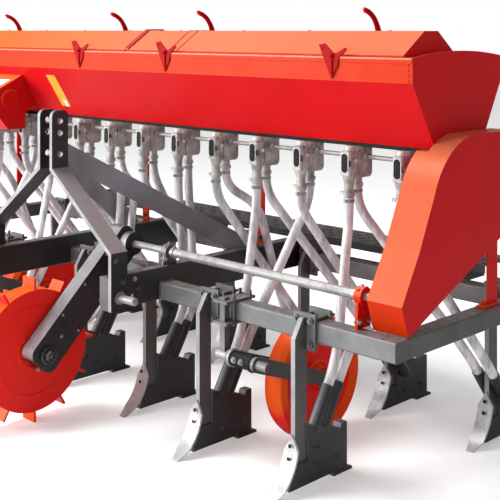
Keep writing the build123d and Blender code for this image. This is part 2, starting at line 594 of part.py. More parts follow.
arm_way = Vector(0, WHEEL_Y - SHAFT_Y, WHEEL_Z - SHAFT_Z)
arm_plane = Plane((ARM_IN, SHAFT_Y, SHAFT_Z), x_dir=arm_way, z_dir=(1, 0, 0))
arm_middle = arm_plane * Pos(arm_way.length / 2, 0)
arm_long = arm_way.length + 2 * ARM_PAST
arm = extrude(arm_middle * RectangleRounded(arm_long, ARM_DEEP, ARM_CORNER), ARM_WIDE)
inner_face = arm_middle * RectangleRounded(
    arm_long - 2 * ARM_PLATE, ARM_DEEP - 2 * ARM_PLATE, ARM_CORNER - ARM_PLATE)
arm -= Pos(ARM_PLATE, 0, 0) * extrude(inner_face, ARM_WIDE - 2 * ARM_PLATE)
for y, z, r in ((SHAFT_Y, SHAFT_Z, SHAFT_R), (WHEEL_Y, WHEEL_Z, 15)):
    arm += rod_x(r + 12, ARM_IN, ARM_IN + ARM_PLATE + 6, y, z) + rod_x(
        r + 12, ARM_IN + ARM_WIDE - ARM_PLATE - 6, ARM_IN + ARM_WIDE + 6, y, z)
    arm -= rod_x(r + SHAFT_CLEAR, ARM_IN - 20, ARM_IN + ARM_WIDE + 20, y, z)
boss_x = ARM_IN + ARM_WIDE + 6
arm += rod_x(ARM_BOSS_R, boss_x, boss_x + 36, SHAFT_Y, SHAFT_Z) - rod_x(
    SHAFT_R + SHAFT_CLEAR, boss_x - 1, boss_x + 40, SHAFT_Y, SHAFT_Z)
add("wheel_arm", arm)

# ---- chain cover at the end of the hopper ------------------------------------------
COVER_TOP = 1130
COVER_BACK_Y = 510
cover_edges = [
    Line((-204, 634), (-112, 790)),
    Line((-112, 790), (-30, 960)),
    ThreePointArc((-30, 960), (38, 1062), (181, COVER_TOP)),
    Line((181, COVER_TOP), (COVER_BACK_Y - 80, COVER_TOP)),
    ThreePointArc((COVER_BACK_Y - 80, COVER_TOP), (COVER_BACK_Y - 24, 1106), (COVER_BACK_Y, 1050)),
    Line((COVER_BACK_Y, 1050), (COVER_BACK_Y, 925)),
    Line((COVER_BACK_Y, 925), (353, 767)),
    Line((353, 767), (-172, BEAM_TOP)),
    Line((-172, BEAM_TOP), (-204, 634)),
]
cover_face = make_face(cover_edges)
cover_solid = extrude(Plane.YZ.offset(COVER_IN) * cover_face, COVER_OUT - COVER_IN)
cavity = extrude(Plane.YZ.offset(COVER_IN + COVER_SHEET) * offset(cover_face, -COVER_SHEET),
                 COVER_OUT - COVER_IN - 2 * COVER_SHEET)
# the hopper's end stands in the upper inner corner of the cover
step_x, step_z = HOPPER_RIGHT + 1, FLOOR_Z - 2
cover_solid -= block(COVER_IN - 1, step_x, -FRAME_HALF, FRAME_HALF, step_z, 2 * COVER_TOP)
cavity -= block(COVER_IN - 1, step_x + COVER_SHEET, -FRAME_HALF, FRAME_HALF, step_z - COVER_SHEET, 2 * COVER_TOP)
chain_cover = cover_solid - cavity
chain_cover -= rod_x(SHAFT_R + 3, COVER_IN - 1, COVER_IN + 5, SHAFT_Y, SHAFT_Z)
chain_cover -= rod_x(METER_SHAFT_R + 3, COVER_IN - 1, COVER_IN + 5, METER_SHAFT_Y, METER_SHAFT_Z)
add("chain_cover", chain_cover)

# ---- hopper posts -----------------------------------------------------------------
POST_Y = 322
POST_WIDE = 58
POST_THICK = 8
POST_FOOT = 44
FOOT_THICK = 8
for side, name in ((1, "right"), (-1, "left")):
    x = side * (FRAME_HALF - BEAM / 2)
    near, far = x - POST_THICK / 2, x + POST_THICK / 2
    post = block(near, far, POST_Y, POST_Y + POST_WIDE, BEAM_TOP + FOOT_THICK, FLOOR_Z)
    if side > 0:
        post -= cover_solid
    else:
        post += block(far, HOPPER_LEFT + 60, POST_Y, POST_Y + POST_WIDE, FLOOR_Z - FOOT_THICK, FLOOR_Z)
    post += block(near - 14, far + 14, POST_Y - POST_FOOT, POST_Y + POST_WIDE, BEAM_TOP, BEAM_TOP + FOOT_THICK)
    post += rod_z(9, x, POST_Y - POST_FOOT / 2, BEAM_TOP + FOOT_THICK, BEAM_TOP + 3 * FOOT_THICK)
    add(f"end_post_{name}", post)
    x = side * (CHANNEL_OUT + CHANNEL_IN) / 2
    add(f"inner_post_{name}", block(x - 20, x + 20, POST_Y, POST_Y + POST_THICK, CHANNEL_TOP, FLOOR_Z))

# ---- depth wheels, each on an arm below a cross tube ----------------------------------
DEPTH_BORE = 46            # radius of the wheel's hub
DEPTH_AXLE_R = 12
DEPTH_ARM = 10
HANGER_BAR = 24            # square bar, clamped on the beam between two plates
HANGER_PLATE = 9
HANGER_HALF = 34
for side, name in ((1, "right"), (-1, "left")):
    x0, x1 = side * DEPTH_X - DEPTH_WIDE / 2, side * DEPTH_X + DEPTH_WIDE / 2
    profile = [(x0, DEPTH_R - 26), (x0 + 14, DEPTH_R - 6), (x0 + 34, DEPTH_R), (x1 - 34, DEPTH_R),
               (x1 - 14, DEPTH_R - 6), (x1, DEPTH_R - 26), (x1 - 26, DEPTH_R - 44), (x1 - 30, DEPTH_BORE),
               (x1 - 4, DEPTH_BORE - 8), (x1 - 4, DEPTH_AXLE_R + SHAFT_CLEAR),
               (x0 + 4, DEPTH_AXLE_R + SHAFT_CLEAR), (x0 + 4, DEPTH_BORE - 8), (x0 + 30, DEPTH_BORE),
               (x0 + 26, DEPTH_R - 44)]
    disc = revolve(Plane.XZ * make_face(Polyline(*profile, close=True)), Axis.X)
    add(f"depth_wheel_{name}", Pos(0, DEPTH_Y, DEPTH_R) * disc)

    frame_x = side * DEPTH_X
    hanger_x = frame_x - side * 92
    bracket = rod_x(DEPTH_TUBE_R, frame_x - 118, frame_x + 118, DEPTH_TUBE_Y, DEPTH_TUBE_Z)
    bracket += rod_x(DEPTH_TUBE_R + 8, frame_x - 60, frame_x + 60, DEPTH_TUBE_Y, DEPTH_TUBE_Z)
    for arm_x in (x0 - 6 - DEPTH_ARM, x1 + 6):
        arm_start = Vector(arm_x, DEPTH_TUBE_Y, DEPTH_TUBE_Z)
        way = Vector(0, DEPTH_Y - DEPTH_TUBE_Y, DEPTH_R - DEPTH_TUBE_Z)
        plane = Plane(arm_start, x_dir=way, z_dir=(1, 0, 0))
        bracket += extrude(plane * Pos(way.length / 2, 0) * SlotOverall(way.length + 52, 52), DEPTH_ARM)
    bracket += rod_x(DEPTH_AXLE_R, x0 - 22, x1 + 22, DEPTH_Y, DEPTH_R)
    plate_front, plate_back = DEPTH_TUBE_Y - HANGER_BAR, FRONT_BEAM_BACK + HANGER_BAR
    bracket += block(hanger_x - HANGER_BAR / 2, hanger_x + HANGER_BAR / 2, DEPTH_TUBE_Y - HANGER_BAR / 2,
                     DEPTH_TUBE_Y + HANGER_BAR / 2, DEPTH_TUBE_Z, BEAM_TOP + 2 * HANGER_PLATE)
    for z in (BEAM_TOP, BEAM_BOTTOM - HANGER_PLATE):
        bracket += block(hanger_x - HANGER_HALF, hanger_x + HANGER_HALF, plate_front, plate_back, z, z + HANGER_PLATE)
    for bolt_x in (hanger_x - HANGER_HALF + 9, hanger_x + HANGER_HALF - 9):
        for bolt_y in (FRONT_BEAM_Y - 7, FRONT_BEAM_BACK + 7):
            bracket += rod_z(6, bolt_x, bolt_y, BEAM_BOTTOM - 2 * HANGER_PLATE, BEAM_TOP + 3 * HANGER_PLATE)
    add(f"depth_bracket_{name}", bracket)

# ---- footboard behind the rear beam ---------------------------------------------------
BOARD_SHEET = 4
STAY_PLACES = (-1125, -330, 330, 1125)
board_front = BOARD_BACK_Y - BOARD_DEEP
board = block(-BOARD_HALF, BOARD_HALF, board_front, BOARD_BACK_Y, BOARD_Z, BOARD_Z + BOARD_SHEET)
for y in (board_front, BOARD_BACK_Y - BOARD_SHEET):
    board += block(-BOARD_HALF, BOARD_HALF, y, y + BOARD_SHEET, BOARD_Z - 26, BOARD_Z)
add("footboard", board)


def stay(x):
    """Angle bar under the board with a plate on the back of the rear beam."""
    bar = block(x - 5, x + 5, REAR_BEAM_BACK, BOARD_BACK_Y - 10, BEAM_TOP - 30, BOARD_Z - 27)
    bar += block(x - 5, x + 5, board_front + 6, BOARD_BACK_Y - 10, BOARD_Z - 27, BOARD_Z)
    return bar + block(x - 30, x + 30, REAR_BEAM_BACK, REAR_BEAM_BACK + 8, BEAM_BOTTOM + 4, BEAM_TOP - 4)


add("footboard_stays", *[stay(x) for x in STAY_PLACES])

for name, shape in nodes.items():
    export_step(shape, f"parts/{name}.step")
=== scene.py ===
"""Looks of a tractor-mounted seed and fertiliser drill, laid out as a Blender add-on.

+X points to the end with the chain cover, -Y forward to the tractor, +Z up; metres.
"""

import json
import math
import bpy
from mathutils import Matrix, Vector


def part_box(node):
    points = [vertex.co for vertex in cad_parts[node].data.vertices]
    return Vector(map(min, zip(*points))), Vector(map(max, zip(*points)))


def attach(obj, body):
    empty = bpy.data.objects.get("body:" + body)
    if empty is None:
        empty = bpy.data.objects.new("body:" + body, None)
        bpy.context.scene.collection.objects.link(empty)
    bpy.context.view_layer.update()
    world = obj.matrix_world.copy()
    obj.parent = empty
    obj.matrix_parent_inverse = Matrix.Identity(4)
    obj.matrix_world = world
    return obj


bl_info = {
    "name": "Seed Drill Dressing",
    "version": (1, 0, 0),
    "blender": (4, 5, 0),
    "location": "View3D > Sidebar > Seed Drill",
    "description": "Paints, steel, tubes, fasteners and trim of a mounted seed drill",
    "category": "Object",
}

import bmesh
import bpy
from bpy.props import FloatProperty, FloatVectorProperty, PointerProperty
from mathutils import Matrix, Vector

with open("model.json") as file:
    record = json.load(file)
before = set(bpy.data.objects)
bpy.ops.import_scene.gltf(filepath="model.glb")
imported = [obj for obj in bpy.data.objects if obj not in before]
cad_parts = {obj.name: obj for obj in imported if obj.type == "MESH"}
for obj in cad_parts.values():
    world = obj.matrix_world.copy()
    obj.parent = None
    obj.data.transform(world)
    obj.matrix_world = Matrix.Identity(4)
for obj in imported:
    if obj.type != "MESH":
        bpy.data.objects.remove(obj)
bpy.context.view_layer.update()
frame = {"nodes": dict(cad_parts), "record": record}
NODES = frame["nodes"]
FRAME_BODY = "frame"


# ---- sizes and colours that a user would change ----
def colour(name, words, default):
    """A colour property in linear light."""
    return FloatVectorProperty(name=name, description=words, default=default, size=3, min=0, max=1,
                               subtype="COLOR")


def length(name, words, default):
    """A length property in metres."""
    return FloatProperty(name=name, description=words, default=default, min=0, unit="LENGTH")


class DrillColours(bpy.types.PropertyGroup):
    """Paint and metal colours, in linear light"""

    hopper_red: colour("Hopper red", "Gloss paint on the hopper, lids and covers", (0.66, 0.008, 0.011))
    # painted light: the next two colours are lit tones of the hopper red, for faces turned up and to
    # the front
    half_lit_red: colour("Warm red", "The same paint on upright faces toward the sun", (0.64, 0.038, 0.002))
    lit_pale_red: colour("Faded red", "The same paint where it faces the sky", (0.70, 0.170, 0.080))
    wheel_red: colour("Wheel red", "Paint on the three wheels", (0.90, 0.020, 0.014))
    # painted light: a lit tone of the wheel red, for faces turned up and to the front
    wheel_orange: colour("Wheel orange", "Wheel paint on faces toward the sun", (0.96, 0.105, 0.010))
    frame_grey: colour("Frame grey", "Gunmetal paint on the beams", (0.075, 0.072, 0.070))
    hitch_black: colour("Hitch black", "Paint on the mast and the hitch members", (0.016, 0.016, 0.018))
    boot_grey: colour("Boot grey", "Paint on the boots behind the tynes", (0.020, 0.022, 0.025))
    board_black: colour("Footboard black", "Paint on the footboard", (0.02, 0.02, 0.021))
    share_steel: colour("Shovel steel", "Bright steel of the shovels", (0.56, 0.57, 0.58))
    plated_steel: colour("Plated steel", "Zinc plate on shafts, pins and bolts", (0.38, 0.37, 0.37))
    cast_metal: colour("Cast metal", "Aluminium of the metering units", (0.47, 0.455, 0.44))
    tube_white: colour("Tube white", "Milky plastic of the seed tubes", (0.68, 0.69, 0.72))
    strip_yellow: colour("Strip yellow", "Adhesive strip on the hopper front", (0.78, 0.42, 0.025))
    label_white: colour("Label white", "Bare label and cap colour", (0.80, 0.78, 0.74))
    floor_white: colour("Floor white", "Plain pale floor", (0.92, 0.92, 0.92))


class DrillSizes(bpy.types.PropertyGroup):
    """Sizes of the trim and the fasteners"""

    bolt_across: length("Bolt size", "Across the flats of a large bolt head", 0.019)
    screw_radius: length("Screw radius", "Radius of the small round screw heads", 0.006)
    washer_thick: length("Washer thickness", "Thickness of a plain washer", 0.002)
    clip_wide: length("Tube clip width", "Width of the clip round a tube's end", 0.011)
    rib_high: length("Lid rib height", "Height of the pressed rib on a lid", 0.006)
    strip_wide: length("Strip width", "Width of the strip on the hopper", 0.0672)


def colours():
    return bpy.context.scene.drill_colours


def sizes():
    return bpy.context.scene.drill_sizes


# ---- finishes ----
class Finish:
    """A node material built step by step around one Principled shader."""

    def __init__(self, name):
        self.material = bpy.data.materials.new(name)
        self.material.use_nodes = True
        self.tree = self.material.node_tree
        self.shader = self.tree.nodes["Principled BSDF"]
        own = self.tree.nodes.new("ShaderNodeTexCoord")
        self.place, self.own_normal = own.outputs["Object"], own.outputs["Normal"]

    def feed(self, socket, value):
        """Link another node's output to a socket, or set the socket to a constant."""
        if isinstance(value, bpy.types.NodeSocket):
            self.tree.links.new(value, socket)
        else:
            socket.default_value = value

    def node(self, kind, **inputs):
        """A new node with its inputs fed by name."""
        made = self.tree.nodes.new(kind)
        for key, value in inputs.items():
            self.feed(made.inputs[key.replace("_", " ")], value)
        return made

    def stretched(self, scale):
        """The piece's own coordinates, scaled along each axis."""
        return self.node("ShaderNodeMapping", Vector=self.place, Scale=scale).outputs["Vector"]

    def grain(self, scale, detail, rough=0.55, vector=None):
        """Noise through the piece."""
        made = self.node("ShaderNodeTexNoise", Vector=vector or self.place, Scale=scale,
                         Detail=detail, Roughness=rough)
        return made.outputs["Fac"]

    def ramp(self, fac, low, high, dark=0.0, light=1.0):
        """Stretch the values between two levels to another pair."""
        made = self.node("ShaderNodeMapRange", Value=fac, From_Min=low, From_Max=high, To_Min=dark,
                         To_Max=light)
        return made.outputs["Result"]

    def clouds(self, scale, detail, low, high, dark=0.0, light=1.0):
        """Noise stretched between two levels."""
        return self.ramp(self.grain(scale, detail), low, high, dark, light)

    def mix(self, fac, first, second):
        """Blend two colours."""
        made = self.tree.nodes.new("ShaderNodeMix")
        made.data_type = "RGBA"
        # the colour inputs of this node share their names with others, so they go by number
        for index, value in ((0, fac), (6, first), (7, second)):
            self.feed(made.inputs[index], (*value, 1.0) if isinstance(value, tuple) else value)
        return made.outputs[2]

    def turned_to(self, way, low, high):
        """0 to 1 as the surface, in its own rest position, turns toward a way."""
        made = self.tree.nodes.new("ShaderNodeVectorMath")
        made.operation = "DOT_PRODUCT"
        for socket, value in zip(made.inputs, (self.own_normal, way)):
            self.feed(socket, value)
        return self.ramp(made.outputs["Value"], low, high)

    def along(self, low, high):
        """0 at one place along the machine and 1 at another."""
        parts = self.node("ShaderNodeSeparateXYZ", Vector=self.place)
        return self.ramp(parts.outputs["X"], low, high)

    def times(self, first, second):
        """Product of two values."""
        made = self.tree.nodes.new("ShaderNodeMath")
        made.operation = "MULTIPLY"
        for socket, value in zip(made.inputs, (first, second)):
            self.feed(socket, value)
        return made.outputs["Value"]

    def link(self, output, name):
        """Feed one of the shader's inputs from a node."""
        self.tree.links.new(output, self.shader.inputs[name])

    def bump(self, height, strength, distance):
        """Small relief in the surface."""
        made = self.node("ShaderNodeBump", Height=height, Strength=strength, Distance=distance)
        self.link(made.outputs["Normal"], "Normal")

    def set(self, **values):
        """Constants of the shader, by name."""
        for key, value in values.items():
            self.shader.inputs[key.replace("_", " ")].default_value = value


def shade(base, factor):
    """A colour made darker or lighter."""
    return tuple(min(1.0, max(0.0, part * factor)) for part in base)


LIT_WAY = (0.0, -0.5, 0.8)  # the way that the painted highlight faces: up and to the front, toward the lamps
# the paler grey that up-facing frame faces are mixed toward
TOP_GREY = (0.34, 0.32, 0.30)
# bare steel showing on scratches, and also the painted light on lit faces
BARE_AND_LIT_STEEL = (0.55, 0.56, 0.58)


def gloss_paint(name, base, half_lit, lit_pale, shine):
    """Enamel with cloudy patches, a faint orange peel and painted light.

    Faces that turn a little up and to the front get a warmer painted lit red, those that face that way
    a paler painted highlight, more orange toward -X, and the +X ends a slight painted shade.
    """
    finish = Finish(name)
    patches = finish.clouds(2.2, 4.0, 0.35, 0.65)
    body = finish.mix(patches, shade(base, 0.92), shade(base, 1.06))
    # painted shade: faces toward +X, away from the key lamp, are made a little darker
    shaded_ends = finish.turned_to((1.0, 0.0, 0.0), 0.35, 0.95)
    body = finish.mix(shaded_ends, body, shade(base, 0.96))
    uneven = finish.clouds(1.3, 3.0, 0.3, 0.7, 0.82, 1.0)
    # painted light: faces turned a little up and to the front get the warmer lit red
    half_lit_mask = finish.turned_to(LIT_WAY, 0.06, 0.20)
    body = finish.mix(finish.times(half_lit_mask, uneven), body, half_lit)
    # painted highlight: faces turned up and to the front get a pale lit tone, more orange toward -X
    lit_orange = (lit_pale[0] * 0.92, lit_pale[1] * 0.66, lit_pale[2] * 0.28)
    pale = finish.mix(finish.along(-1.1, 0.1), lit_orange, lit_pale)
    body = finish.mix(finish.times(finish.turned_to(LIT_WAY, 0.52, 0.92), uneven), body, pale)
    specks = finish.clouds(240.0, 2.0, 0.68, 0.75)
    body = finish.mix(finish.times(specks, 0.12), body, shade(base, 0.45))
    finish.link(body, "Base Color")
    finish.link(finish.clouds(14.0, 4.0, 0.3, 0.7, 0.30, 0.42), "Roughness")
    finish.bump(finish.grain(320.0, 1.0), 0.05, 0.0006)
    finish.set(Specular_IOR_Level=shine)
    return finish.material


def frame_paint(name, base, light, rough, shine=0.5, slope=None):
    """Thin satin paint on rolled steel, with rubbed patches, fine scratches and paler up-facing faces.

    Faces toward the front get painted light in patches, and faces that turn to the slope, where one is
    given, a painted highlight.
    """
    finish = Finish(name)
    patches = finish.clouds(6.0, 5.0, 0.38, 0.66)
    body = finish.mix(patches, shade(base, 0.78), shade(base, 1.20))
    scratches = finish.ramp(finish.grain(70.0, 5.0, 0.7, finish.stretched((1.0, 1.0, 5.0))), 0.64, 0.72)
    body = finish.mix(finish.times(scratches, 0.30), body, light)
    # painted light: faces toward the front, where the key lamp falls, are made lighter in patches
    lit_front = finish.times(finish.turned_to((0.0, -1.0, 0.25), 0.55, 1.0),
                        finish.clouds(11.0, 4.0, 0.3, 0.7, 0.5, 1.0))
    body = finish.mix(finish.times(lit_front, 0.70), body, light)
    # painted highlight: faces turned to the slope, where one is given, are made lighter
    if slope:
        body = finish.mix(finish.times(finish.turned_to(slope, 0.80, 0.97), 0.34), body, light)
    # up-facing faces are made paler in patches
    top_paling = finish.times(finish.turned_to((0.0, 0.0, 1.0), 0.5, 1.0),
                        finish.clouds(30.0, 4.0, 0.42, 0.62, 0.15, 0.4))
    body = finish.mix(top_paling, body, TOP_GREY)
    finish.link(body, "Base Color")
    finish.link(finish.clouds(40.0, 4.0, 0.3, 0.7, rough - 0.08, rough + 0.10), "Roughness")
    finish.bump(finish.grain(420.0, 3.0), 0.10, 0.0006)
    finish.set(Specular_IOR_Level=shine)
    return finish.material


def bare_steel(name, base, rough, along, metal):
    """Bright steel with a brushed grain along one way and a little tarnish."""
    finish = Finish(name)
    grain = finish.grain(240.0, 3.0, 0.6, finish.stretched(along))
    tarnish = finish.clouds(34.0, 4.0, 0.46, 0.66)
    body = finish.mix(finish.ramp(grain, 0.3, 0.7), shade(base, 0.86), shade(base, 1.10))
    body = finish.mix(finish.times(tarnish, 0.55), body, shade(base, 0.50))
    finish.link(body, "Base Color")
    finish.link(finish.ramp(grain, 0.3, 0.7, rough - 0.07, rough + 0.10), "Roughness")
    finish.bump(grain, 0.12, 0.0003)
    finish.set(Metallic=metal)
    return finish.material


def cast_aluminium(name, base):
    """Sand-cast aluminium: dull, grainy and darker in its hollows."""
    finish = Finish(name)
    pits = finish.grain(150.0, 5.0, 0.65)
    clouds = finish.clouds(28.0, 4.0, 0.35, 0.68)
    body = finish.mix(clouds, shade(base, 0.62), shade(base, 1.35))
    body = finish.mix(finish.ramp(pits, 0.60, 0.74), body, shade(base, 0.45))
    finish.link(body, "Base Color")
    finish.link(finish.ramp(pits, 0.3, 0.7, 0.42, 0.62), "Roughness")
    finish.bump(pits, 0.45, 0.0012)
    finish.set(Metallic=0.30)
    return finish.material


def milky_tube(name, base):
    """Flexible ribbed plastic that lets a little light through, with lighter and darker painted
    highlight streaks along it.
    """
    finish = Finish(name)
    highlight_streaks = finish.grain(26.0, 4.0, 0.6, finish.stretched((1.0, 1.0, 0.16)))
    # painted highlights: lighter and darker streaks along the tube
    body = finish.mix(finish.ramp(highlight_streaks, 0.38, 0.60), shade(base, 0.66), shade(base, 1.32))
    finish.link(body, "Base Color")
    finish.link(finish.ramp(highlight_streaks, 0.3, 0.7, 0.22, 0.42), "Roughness")
    rings = finish.node("ShaderNodeTexWave", Vector=finish.place, Scale=46.0, Distortion=0.4)
    rings.bands_direction = "Z"
    finish.bump(rings.outputs["Fac"], 0.12, 0.0008)
    finish.set(Subsurface_Weight=0.25, Subsurface_Scale=0.01, Coat_Weight=0.25)
    return finish.material


def plain_finish(name, base, rough, metal=0.0, coat=0.0, shine=0.5):
    """Small parts: one colour broken by fine grain and rubbed spots."""
    finish = Finish(name)
    body = finish.mix(finish.clouds(55.0, 4.0, 0.35, 0.68), shade(base, 0.80), shade(base, 1.12))
    finish.link(body, "Base Color")
    finish.link(finish.clouds(90.0, 3.0, 0.3, 0.7, rough - 0.06, rough + 0.08), "Roughness")
    finish.bump(finish.grain(380.0, 2.0), 0.10, 0.0004)
    finish.set(Metallic=metal, Coat_Weight=coat, Specular_IOR_Level=shine)
    return finish.material


def make_finishes():
    """Every finish by the name of its slot, made once."""
    c = colours()
    red, black, grey = c.hopper_red[:], c.hitch_black[:], c.frame_grey[:]
    orange = c.wheel_orange[:]
    return {
        "hopper_paint": gloss_paint("HopperPaint", red, c.half_lit_red[:], c.lit_pale_red[:], 0.08),
        "wheel_paint": gloss_paint("WheelPaint", c.wheel_red[:], orange, orange, 0.14),
        "frame_paint": frame_paint("FramePaint", grey, shade(BARE_AND_LIT_STEEL, 0.58), 0.42),
        "hitch_paint": frame_paint("HitchPaint", black, shade(BARE_AND_LIT_STEEL, 0.40), 0.36),
        "boot_paint": frame_paint("BootPaint", c.boot_grey[:], shade(BARE_AND_LIT_STEEL, 0.40), 0.45),
        "board_paint": frame_paint("BoardPaint", c.board_black[:], shade(BARE_AND_LIT_STEEL, 0.20), 0.55, 0.3),
        "catch_red": gloss_paint("CatchRed", shade(red, 0.58), shade(red, 0.62), shade(red, 0.70),
                                 0.04),
        # painted light: the arm, brace, shank and mast paints are lighter copies of the frame and hitch
        # paints, for faces lit in this view
        "arm_paint": frame_paint("ArmPaint", black, shade(BARE_AND_LIT_STEEL, 1.5), 0.34),
        "brace_paint": frame_paint("BracePaint", shade(black, 12.0), shade(BARE_AND_LIT_STEEL, 0.50), 0.40),
        "shank_paint": frame_paint("ShankPaint", grey, shade(BARE_AND_LIT_STEEL, 1.05), 0.42),
        "mast_paint": frame_paint("MastPaint", black, shade(BARE_AND_LIT_STEEL, 1.20), 0.34,
                                  slope=(0.8, 0.0, 0.6)),
        "shovel_steel": bare_steel("ShovelSteel", c.share_steel[:], 0.36, (1.0, 1.0, 0.12), 0.35),
        "shaft_steel": bare_steel("ShaftSteel", c.plated_steel[:], 0.46, (0.1, 1.0, 1.0), 0.35),
        "casting": cast_aluminium("MeterCasting", c.cast_metal[:]),
        "tube_plastic": milky_tube("TubePlastic", c.tube_white[:]),
        "bolt_zinc": plain_finish("BoltZinc", c.plated_steel[:], 0.36, metal=0.8),
        "cap_white": plain_finish("CapWhite", c.label_white[:], 0.40, coat=0.2),
        "strip_yellow": plain_finish("StripYellow", c.strip_yellow[:], 0.42, coat=0.1),
        "rubber_black": plain_finish("RubberBlack", (0.016, 0.015, 0.015), 0.6, shine=0.15),
        # painted highlight along the top edge of the hopper's lip
        "hem_paint": plain_finish("HemPaint", c.lit_pale_red[:], 0.40),
        "seam_red": plain_finish("SeamRed", shade(red, 0.62), 0.38),
    }


FINISHES = {}
SLOT_OF = {row["node"]: row["material_slot"] for row in frame["record"]["subparts"]}
# solids whose finish differs from the one their slot is named after
OWN_FINISH = {
    "lid_catches": "catch_red",
    "front_shanks": "shank_paint",
    "rear_shanks": "shank_paint",
    "back_brace_right": "brace_paint",
    "back_brace_left": "brace_paint",
    "mast_bar_right": "mast_paint",
    "mast_bar_left": "mast_paint",
    "wheel_arm": "arm_paint",
}


class DRILL_OT_finishes(bpy.types.Operator):
    """Make the finishes and give each piece of the frame its own"""

    bl_idname = "drill.finishes"
    bl_label = "Paint the Solids"

    def execute(self, context):
        FINISHES.update(make_finishes())
        for name, piece in NODES.items():
            finish = FINISHES[OWN_FINISH.get(name, SLOT_OF[name])]
            if not piece.material_slots:
                piece.data.materials.append(finish)
            for held in piece.material_slots:
                held.material = finish
        return {"FINISHED"}


# ---- stage ----
FLOOR_REACH = 60.0
FLOOR_GLOW = 0.30
SKY_LIGHT, SKY_SEEN = 0.43, 1.0
# columns: name, place, aim, width, power
LAMPS = (
    ("key_lamp", (-5.6, -6.4, 2.8), (0.2, 0.0, 0.7), 4.5, 680.0),
    ("top_lamp", (-1.6, -1.6, 6.0), (0.2, -0.2, 0.4), 2.6, 330.0),
)
CAMERA_PLACE = (3.364, -2.76, 1.475)
CAMERA_TURN = (math.radians(90.0), 0.0, math.radians(44.73))
CAMERA_LENS, SENSOR_WIDE, CAMERA_SHIFT = 74.88, 36.0, -0.44
WHITE = (1.0, 1.0, 1.0, 1.0)


class DRILL_OT_stage(bpy.types.Operator):
    """Pale floor, soft studio light and the camera"""

    bl_idname = "drill.stage"
    bl_label = "Set the Stage"

    def floor(self):
        mesh = bmesh.new()
        bmesh.ops.create_circle(mesh, cap_ends=True, radius=FLOOR_REACH, segments=64)
        floor = keep(mesh, "floor", None, None)
        finish = Finish("FloorWhite")
        finish.set(Base_Color=(*colours().floor_white, 1.0), Roughness=0.9, Specular_IOR_Level=0.1,
                   Emission_Color=WHITE)
        seen = finish.node("ShaderNodeLightPath").outputs["Is Camera Ray"]
        finish.link(finish.times(seen, FLOOR_GLOW), "Emission Strength")
        floor.data.materials.append(finish.material)

    def world(self, scene):
        scene.world = bpy.data.worlds.new("Studio")
        scene.world.use_nodes = True
        tree = scene.world.node_tree
        background = tree.nodes["Background"]
        background.inputs["Color"].default_value = WHITE
        seen = tree.nodes.new("ShaderNodeLightPath")
        level = tree.nodes.new("ShaderNodeMapRange")
        level.inputs["To Min"].default_value = SKY_LIGHT
        level.inputs["To Max"].default_value = SKY_SEEN
        tree.links.new(seen.outputs["Is Camera Ray"], level.inputs["Value"])
        tree.links.new(level.outputs["Result"], background.inputs["Strength"])

    def lamps(self, scene):
        for name, place, aim, wide, power in LAMPS:
            data = bpy.data.lights.new(name, "AREA")
            data.size = wide
            data.energy = power
            lamp = bpy.data.objects.new(name, data)
            scene.collection.objects.link(lamp)
            lamp.location = place
            lamp.rotation_euler = (Vector(aim) - Vector(place)).to_track_quat("-Z", "Y").to_euler()

    def camera(self, scene):
        data = bpy.data.cameras.new("camera")
        data.lens = CAMERA_LENS
        data.sensor_width = SENSOR_WIDE
        data.shift_y = CAMERA_SHIFT
        camera = bpy.data.objects.new("camera", data)
        scene.collection.objects.link(camera)
        camera.location = CAMERA_PLACE
        camera.rotation_euler = CAMERA_TURN
        scene.camera = camera

    def execute(self, context):
        self.floor()
        self.world(context.scene)
        self.lamps(context.scene)
        self.camera(context.scene)
        context.scene.view_settings.view_transform = "Standard"
        return {"FINISHED"}


# ---- helpers for new pieces ----
X, Y, Z = Vector((1, 0, 0)), Vector((0, 1, 0)), Vector((0, 0, 1))


def keep(mesh, name, finish, body=FRAME_BODY):
    """Turn a bmesh into a piece at the origin that rides on a body."""
    bmesh.ops.recalc_face_normals(mesh, faces=mesh.faces)
    data = bpy.data.meshes.new(name)
    mesh.to_mesh(data)
    mesh.free()
    piece = bpy.data.objects.new(name, data)
    bpy.context.scene.collection.objects.link(piece)
    if finish:
        data.materials.append(FINISHES[finish])
    if body:
        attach(piece, body)
    return piece


def facing(place, axis):
    """Matrix that turns +Z to the axis and moves to the place."""
    return Matrix.Translation(place) @ Vector(axis).to_track_quat("Z", "Y").to_matrix().to_4x4()


def turned(mesh, place, axis, foot, top, long, sides):
    """A cone or cylinder that stands at the place, with its radius at the foot and the top."""
    middle = Vector(place) + Vector(axis).normalized() * (long / 2)
    bmesh.ops.create_cone(mesh, cap_ends=True, segments=sides, radius1=foot, radius2=top,
                          depth=long, matrix=facing(middle, axis))


def hex_bolt(mesh, place, axis, across=None, washer=True):
    """Washer, chamfered hexagon head and the end of the bolt."""
    across = across or sizes().bolt_across
    radius, axis = across / math.sqrt(3), Vector(axis).normalized()
    head, chamfer = across * 0.42, across * 0.09
    foot = Vector(place)
    if washer:
        turned(mesh, foot, axis, radius * 1.32, radius * 1.30, sizes().washer_thick, 20)
        foot += axis * sizes().washer_thick
    turned(mesh, foot, axis, radius, radius, head, 6)
    turned(mesh, foot + axis * head, axis, radius * 0.98, radius * 0.80, chamfer, 6)
    turned(mesh, foot + axis * (head + chamfer), axis, across * 0.27, across * 0.23, across * 0.16, 12)


def screw(mesh, place, axis, radius=None):
    """Low round screw head with a chamfered rim."""
    radius = radius or sizes().screw_radius
    axis, rim = Vector(axis).normalized(), radius * 0.18
    turned(mesh, place, axis, radius, radius, rim, 14)
    turned(mesh, Vector(place) + axis * rim, axis, radius, radius * 0.62, radius * 0.14, 14)


